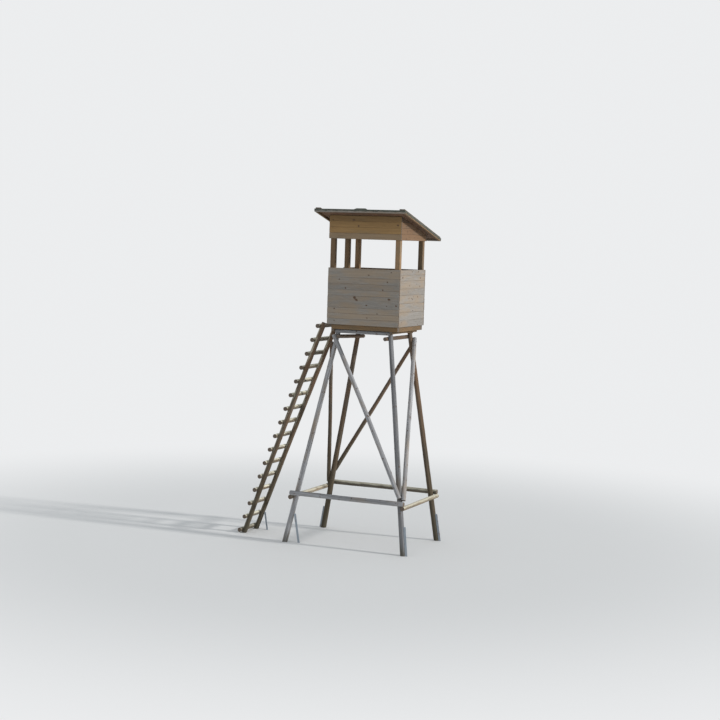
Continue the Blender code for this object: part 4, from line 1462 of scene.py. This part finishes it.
def felt_faces():
    """The grid's faces, without those where two lips cross at a corner."""
    lips, across = len(LIP_LEVELS), len(path_s)
    faces = []
    for i in range(len(path_x) - 1):
        for j in range(across - 1):
            side_lip = i < lips or i >= len(path_x) - 1 - lips
            end_lip = j < lips or j >= across - 1 - lips
            if not (side_lip and end_lip):
                near, far = i * across + j, (i + 1) * across + j
                faces.append((near, far, far + 1, near + 1))
    return faces


def make_felt():
    rng = np.random.default_rng(25)
    wave = [(rng.uniform(2, 16), rng.uniform(2, 16), rng.uniform(0, 6)) for _ in range(9)]
    points = np.array([felt_point(x, a, s, b, wave) for x, a in path_x for s, b in path_s])
    faces = felt_faces()
    used = sorted({index for face in faces for index in face})
    renumber = {old: new for new, old in enumerate(used)}
    mesh = bpy.data.meshes.new("felt_sheet")
    mesh.from_pydata(on_roof(points[used]), [], [tuple(renumber[i] for i in face) for face in faces])
    mesh.materials.append(felt_finish)
    mesh.shade_smooth()
    mesh.set_sharp_from_angle(angle=FELT_SHARP)
    felt = bpy.data.objects.new("felt_sheet", mesh)
    solid = felt.modifiers.new("thickness", "SOLIDIFY")
    solid.thickness = FELT_SHEET
    solid.offset = -1
    place_piece(felt, "roof_felt", "roof_felt")
    print("felt of", len(faces), "faces")


make_felt()

# %% [markdown]
# Two battens hold the felt down along the sides of the roof. They are rough sawn and brown,
# and are built in the roof's space like the boards under them.

# %% Battens
BATTEN_BASE = ROOF_BOARD + FELT
BATTEN_TOP = BATTEN_BASE + 0.024
BATTEN_INSET = 0.012
BATTENS = ("roof_batten_left", "roof_batten_right")


def make_battens():
    rng = np.random.default_rng(27)
    for node in BATTENS:
        low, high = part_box(node)
        batten = Shapes(on_roof)
        ends = (low.x, front_s + BATTEN_INSET, BATTEN_BASE), (high.x, back_s - BATTEN_INSET, BATTEN_TOP)
        add_beam(batten, *ends, 1, rng, 0.1, ripple=1.4)
        batten.piece("timber_" + node, pick("brown_pole", "brown_pole", "end"), "cross_wood", node)


make_battens()
print(len(BATTENS), "battens")

# %% [markdown]
# Nails are what the stand hangs together by. Each head is a low dome, from seven millimetres
# across in a board to sixteen where two poles cross. They are gathered into a few pieces, one
# for the walls, one for the roof and one for the poles, because hundreds of single objects
# would be slow. The boards in front and behind have two nails at each end, over the posts. On
# the sides the nails simply follow each other at one spacing.

# %% Wall nails
HEAD_SIDES = 10
HEAD_LEVELS = ((1.0, -0.0006), (1.0, 0.0006), (0.72, 0.0012))
HEAD_TIP, HEAD_UNIT = 0.0014, 0.004
HEAD_HINT = (0.36, 0.48, 0.8)
NAIL, CLOUT, POLE_NAIL = 0.0035, 0.005, 0.008
NAIL_INSET, NAIL_SHARES = 0.062, (0.27, 0.73)
NAIL_DRIFT, NAIL_SUNK = 0.004, 0.0007
SIDE_INSET, SIDE_GAP = 0.04, 0.062


def add_head(shapes, middle, out, size):
    """A nail's head: a low dome on a surface that faces out."""
    middle, out = np.asarray(middle, float), np.asarray(out, float)
    out = out / np.linalg.norm(out)
    side, third = crosswise(out, HEAD_HINT)
    turn = np.linspace(0, FULL_TURN, HEAD_SIDES, endpoint=False)
    ring = np.cos(turn)[:, None] * side + np.sin(turn)[:, None] * third
    rings = [middle + ring * size * reach + out * height * size / HEAD_UNIT for reach, height in HEAD_LEVELS]
    points = np.concatenate(rings + [[middle + out * HEAD_TIP * size / HEAD_UNIT]])
    faces = dome_faces(len(HEAD_LEVELS), HEAD_SIDES)
    shapes.add(points, points, faces, [0] * len(faces))


def wall_nails():
    rng = np.random.default_rng(31)
    heads = Shapes()
    for sign in (-1, 1):
        y = middle_y + sign * half_depth
        edges = row_edges(floor_z, parapet_z, ROW_SHARES[::-sign])
        rows = list(zip(edges, edges[1:]))
        level = band_z
        while level + BAND_ROW < under_roof(y) + 0.03:
            rows.append((level + BAND_ROW, level))
            level += BAND_ROW
        for top, bottom in rows:
            for x in (wall_low.x + NAIL_INSET, wall_high.x - NAIL_INSET):
                for share in NAIL_SHARES:
                    height = bottom + (top - bottom) * share
                    place = (x + rng.normal(0, NAIL_DRIFT), y - sign * NAIL_SUNK, height)
                    add_head(heads, place, (0, sign, 0), NAIL)
    for side, sign in (("left", -1), ("right", 1)):
        low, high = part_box("parapet_" + side)
        x = middle_x + sign * (half_width - NAIL_SUNK)
        for level in np.arange(floor_z + 0.03, parapet_z - 0.02, SIDE_GAP):
            for y in (low.y + SIDE_INSET, high.y - SIDE_INSET):
                add_head(heads, (x, y + rng.normal(0, NAIL_DRIFT), level), (sign, 0, 0), NAIL)
    return heads.piece("nails_walls", [nail_steel], "stake_steel")


print("wall nails:", len(wall_nails().data.polygons), "faces")

# %% [markdown]
# Clout nails with wide heads hold the felt's lip, and smaller ones run down the battens in a
# slight zigzag, so that the batten doesn't split along one line.

# %% Roof nails
CLOUT_GAP, BATTEN_GAP = 0.11, 0.12
CLOUT_DROP = 0.012
ZIGZAG = 0.02


def felt_nails():
    heads = Shapes(on_roof)
    for x in np.arange(roof_low.x + 0.05, roof_high.x - 0.02, CLOUT_GAP):
        for s, sign in ((low_s, -1), (high_s, 1)):
            place = (x, s - sign * FELT_WAVE, ROOF_BOARD - CLOUT_DROP)
            add_head(heads, place, (0, sign, 0), CLOUT)
    for s in np.arange(front_s + 0.07, back_s - 0.02, BATTEN_GAP):
        for node in BATTENS:
            low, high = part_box(node)
            middle = (low.x + high.x) / 2 + ZIGZAG * math.sin(s * 40)
            add_head(heads, (middle, s, BATTEN_TOP - 0.001), (0, 0, 1), NAIL)
    return heads.piece("nails_roof", [nail_steel], "stake_steel")


print("roof nails:", len(felt_nails().data.polygons), "faces")

# %% [markdown]
# Where two poles cross, one large nail goes through the outer one. Its place is worked out
# from the two centre lines: the points where they come closest to each other give the
# crossing, and the way from one to the other is the way out.

# %% Pole nails
ON_SURFACE = 0.975
SIDES = ("front", "back", "left", "right")


def crossing(first, second):
    """Where two poles cross: the point on the second one's outer side, and the way out."""
    a0, a1, _, _ = pole_line(first)
    b0, b1, foot_radius, top_radius = pole_line(second)
    u, v, w = a1 - a0, b1 - b0, a0 - b0
    uu, uv, vv, uw, vw = u @ u, u @ v, v @ v, u @ w, v @ w
    t = (uu * vw - uv * uw) / (uu * vv - uv * uv)
    t = min(max(t, 0.0), 1.0)
    place = b0 + v * t
    out = place - (a0 + u * ((uv * t - uw) / uu))
    out = out / np.linalg.norm(out)
    return place + out * (foot_radius + (top_radius - foot_radius) * t) * ON_SURFACE, out


def pole_nails():
    heads = Shapes()
    for kind, sides in (("ring_pole_", SIDES), ("brace_", SIDES), ("head_pole_", SIDES[2:])):
        for side in sides:
            for corner in CORNERS:
                if side in corner:
                    add_head(heads, *crossing("leg_" + corner, kind + side), POLE_NAIL)
    for rung in RUNGS:
        for rail in RAILS:
            add_head(heads, *crossing(rail, rung), CLOUT)
    return heads.piece("nails_poles", [nail_steel], "stake_steel")


print("pole nails:", len(pole_nails().data.polygons), "faces")

# %% [markdown]
# The angle irons at the feet keep the shape they have in the model. A small bevel takes the
# sharpness off their edges, as rolled steel never has it, and two bolts hold each iron to its
# leg. The finish is blue grey mill steel, rusting where the scale has come off.

# %% Stakes
BOLT_SIZE = 0.0085
BOLT_DROPS = (0.045, 0.125)
STAKE_BEVEL = 0.0007
STAKES = {"stake_" + corner: "leg_" + corner for corner in CORNERS}
STAKES["stake_ladder"] = "ladder_rail_back"


def bolt_stake(bolts, node, leg):
    """Two bolt heads on the iron's face that looks away from its leg, below the upper edge."""
    mesh = nodes[node].data
    foot, top = pole_line(leg)[:2]
    corners = np.array([vertex.co for vertex in mesh.vertices])
    high = corners[corners[:, 2] > corners[:, 2].max() - 0.03].mean(0)
    line = (top - foot) / np.linalg.norm(top - foot)
    out = high - foot - line * ((high - foot) @ line)
    large = [face.normal for face in mesh.polygons if face.area > 0.004]
    normal = max(large, key=lambda direction: direction.dot(out))
    flat = {i for face in mesh.polygons if face.normal.dot(normal) > 0.999 for i in face.vertices}
    edge = corners[sorted(flat)]
    edge = edge[np.argsort(edge[:, 2])]
    lower, upper = edge[:2].mean(0), edge[-2:].mean(0)
    down = (lower - upper) / np.linalg.norm(lower - upper)
    for drop in BOLT_DROPS:
        add_head(bolts, upper + down * drop, normal, BOLT_SIZE)


bolts = Shapes()
for node, leg in STAKES.items():
    nodes[node].data.materials.clear()
    nodes[node].data.materials.append(stake_steel)
    bolt_stake(bolts, node, leg)
    bevel = nodes[node].modifiers.new("worn_edges", "BEVEL")
    bevel.width = STAKE_BEVEL
    bevel.segments = 2
print("bolts", len(bolts.piece("bolts_stakes", [nail_steel], "stake_steel").data.polygons), "faces")

# %% [markdown]
# The last cell compares the dressed stand's box with the model's.

# %% Finish
low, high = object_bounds()
grown = [round(v * 1000, 2) for v in (*(cad_low - low), *(high - cad_high))]
print("grew by", grown, "mm")
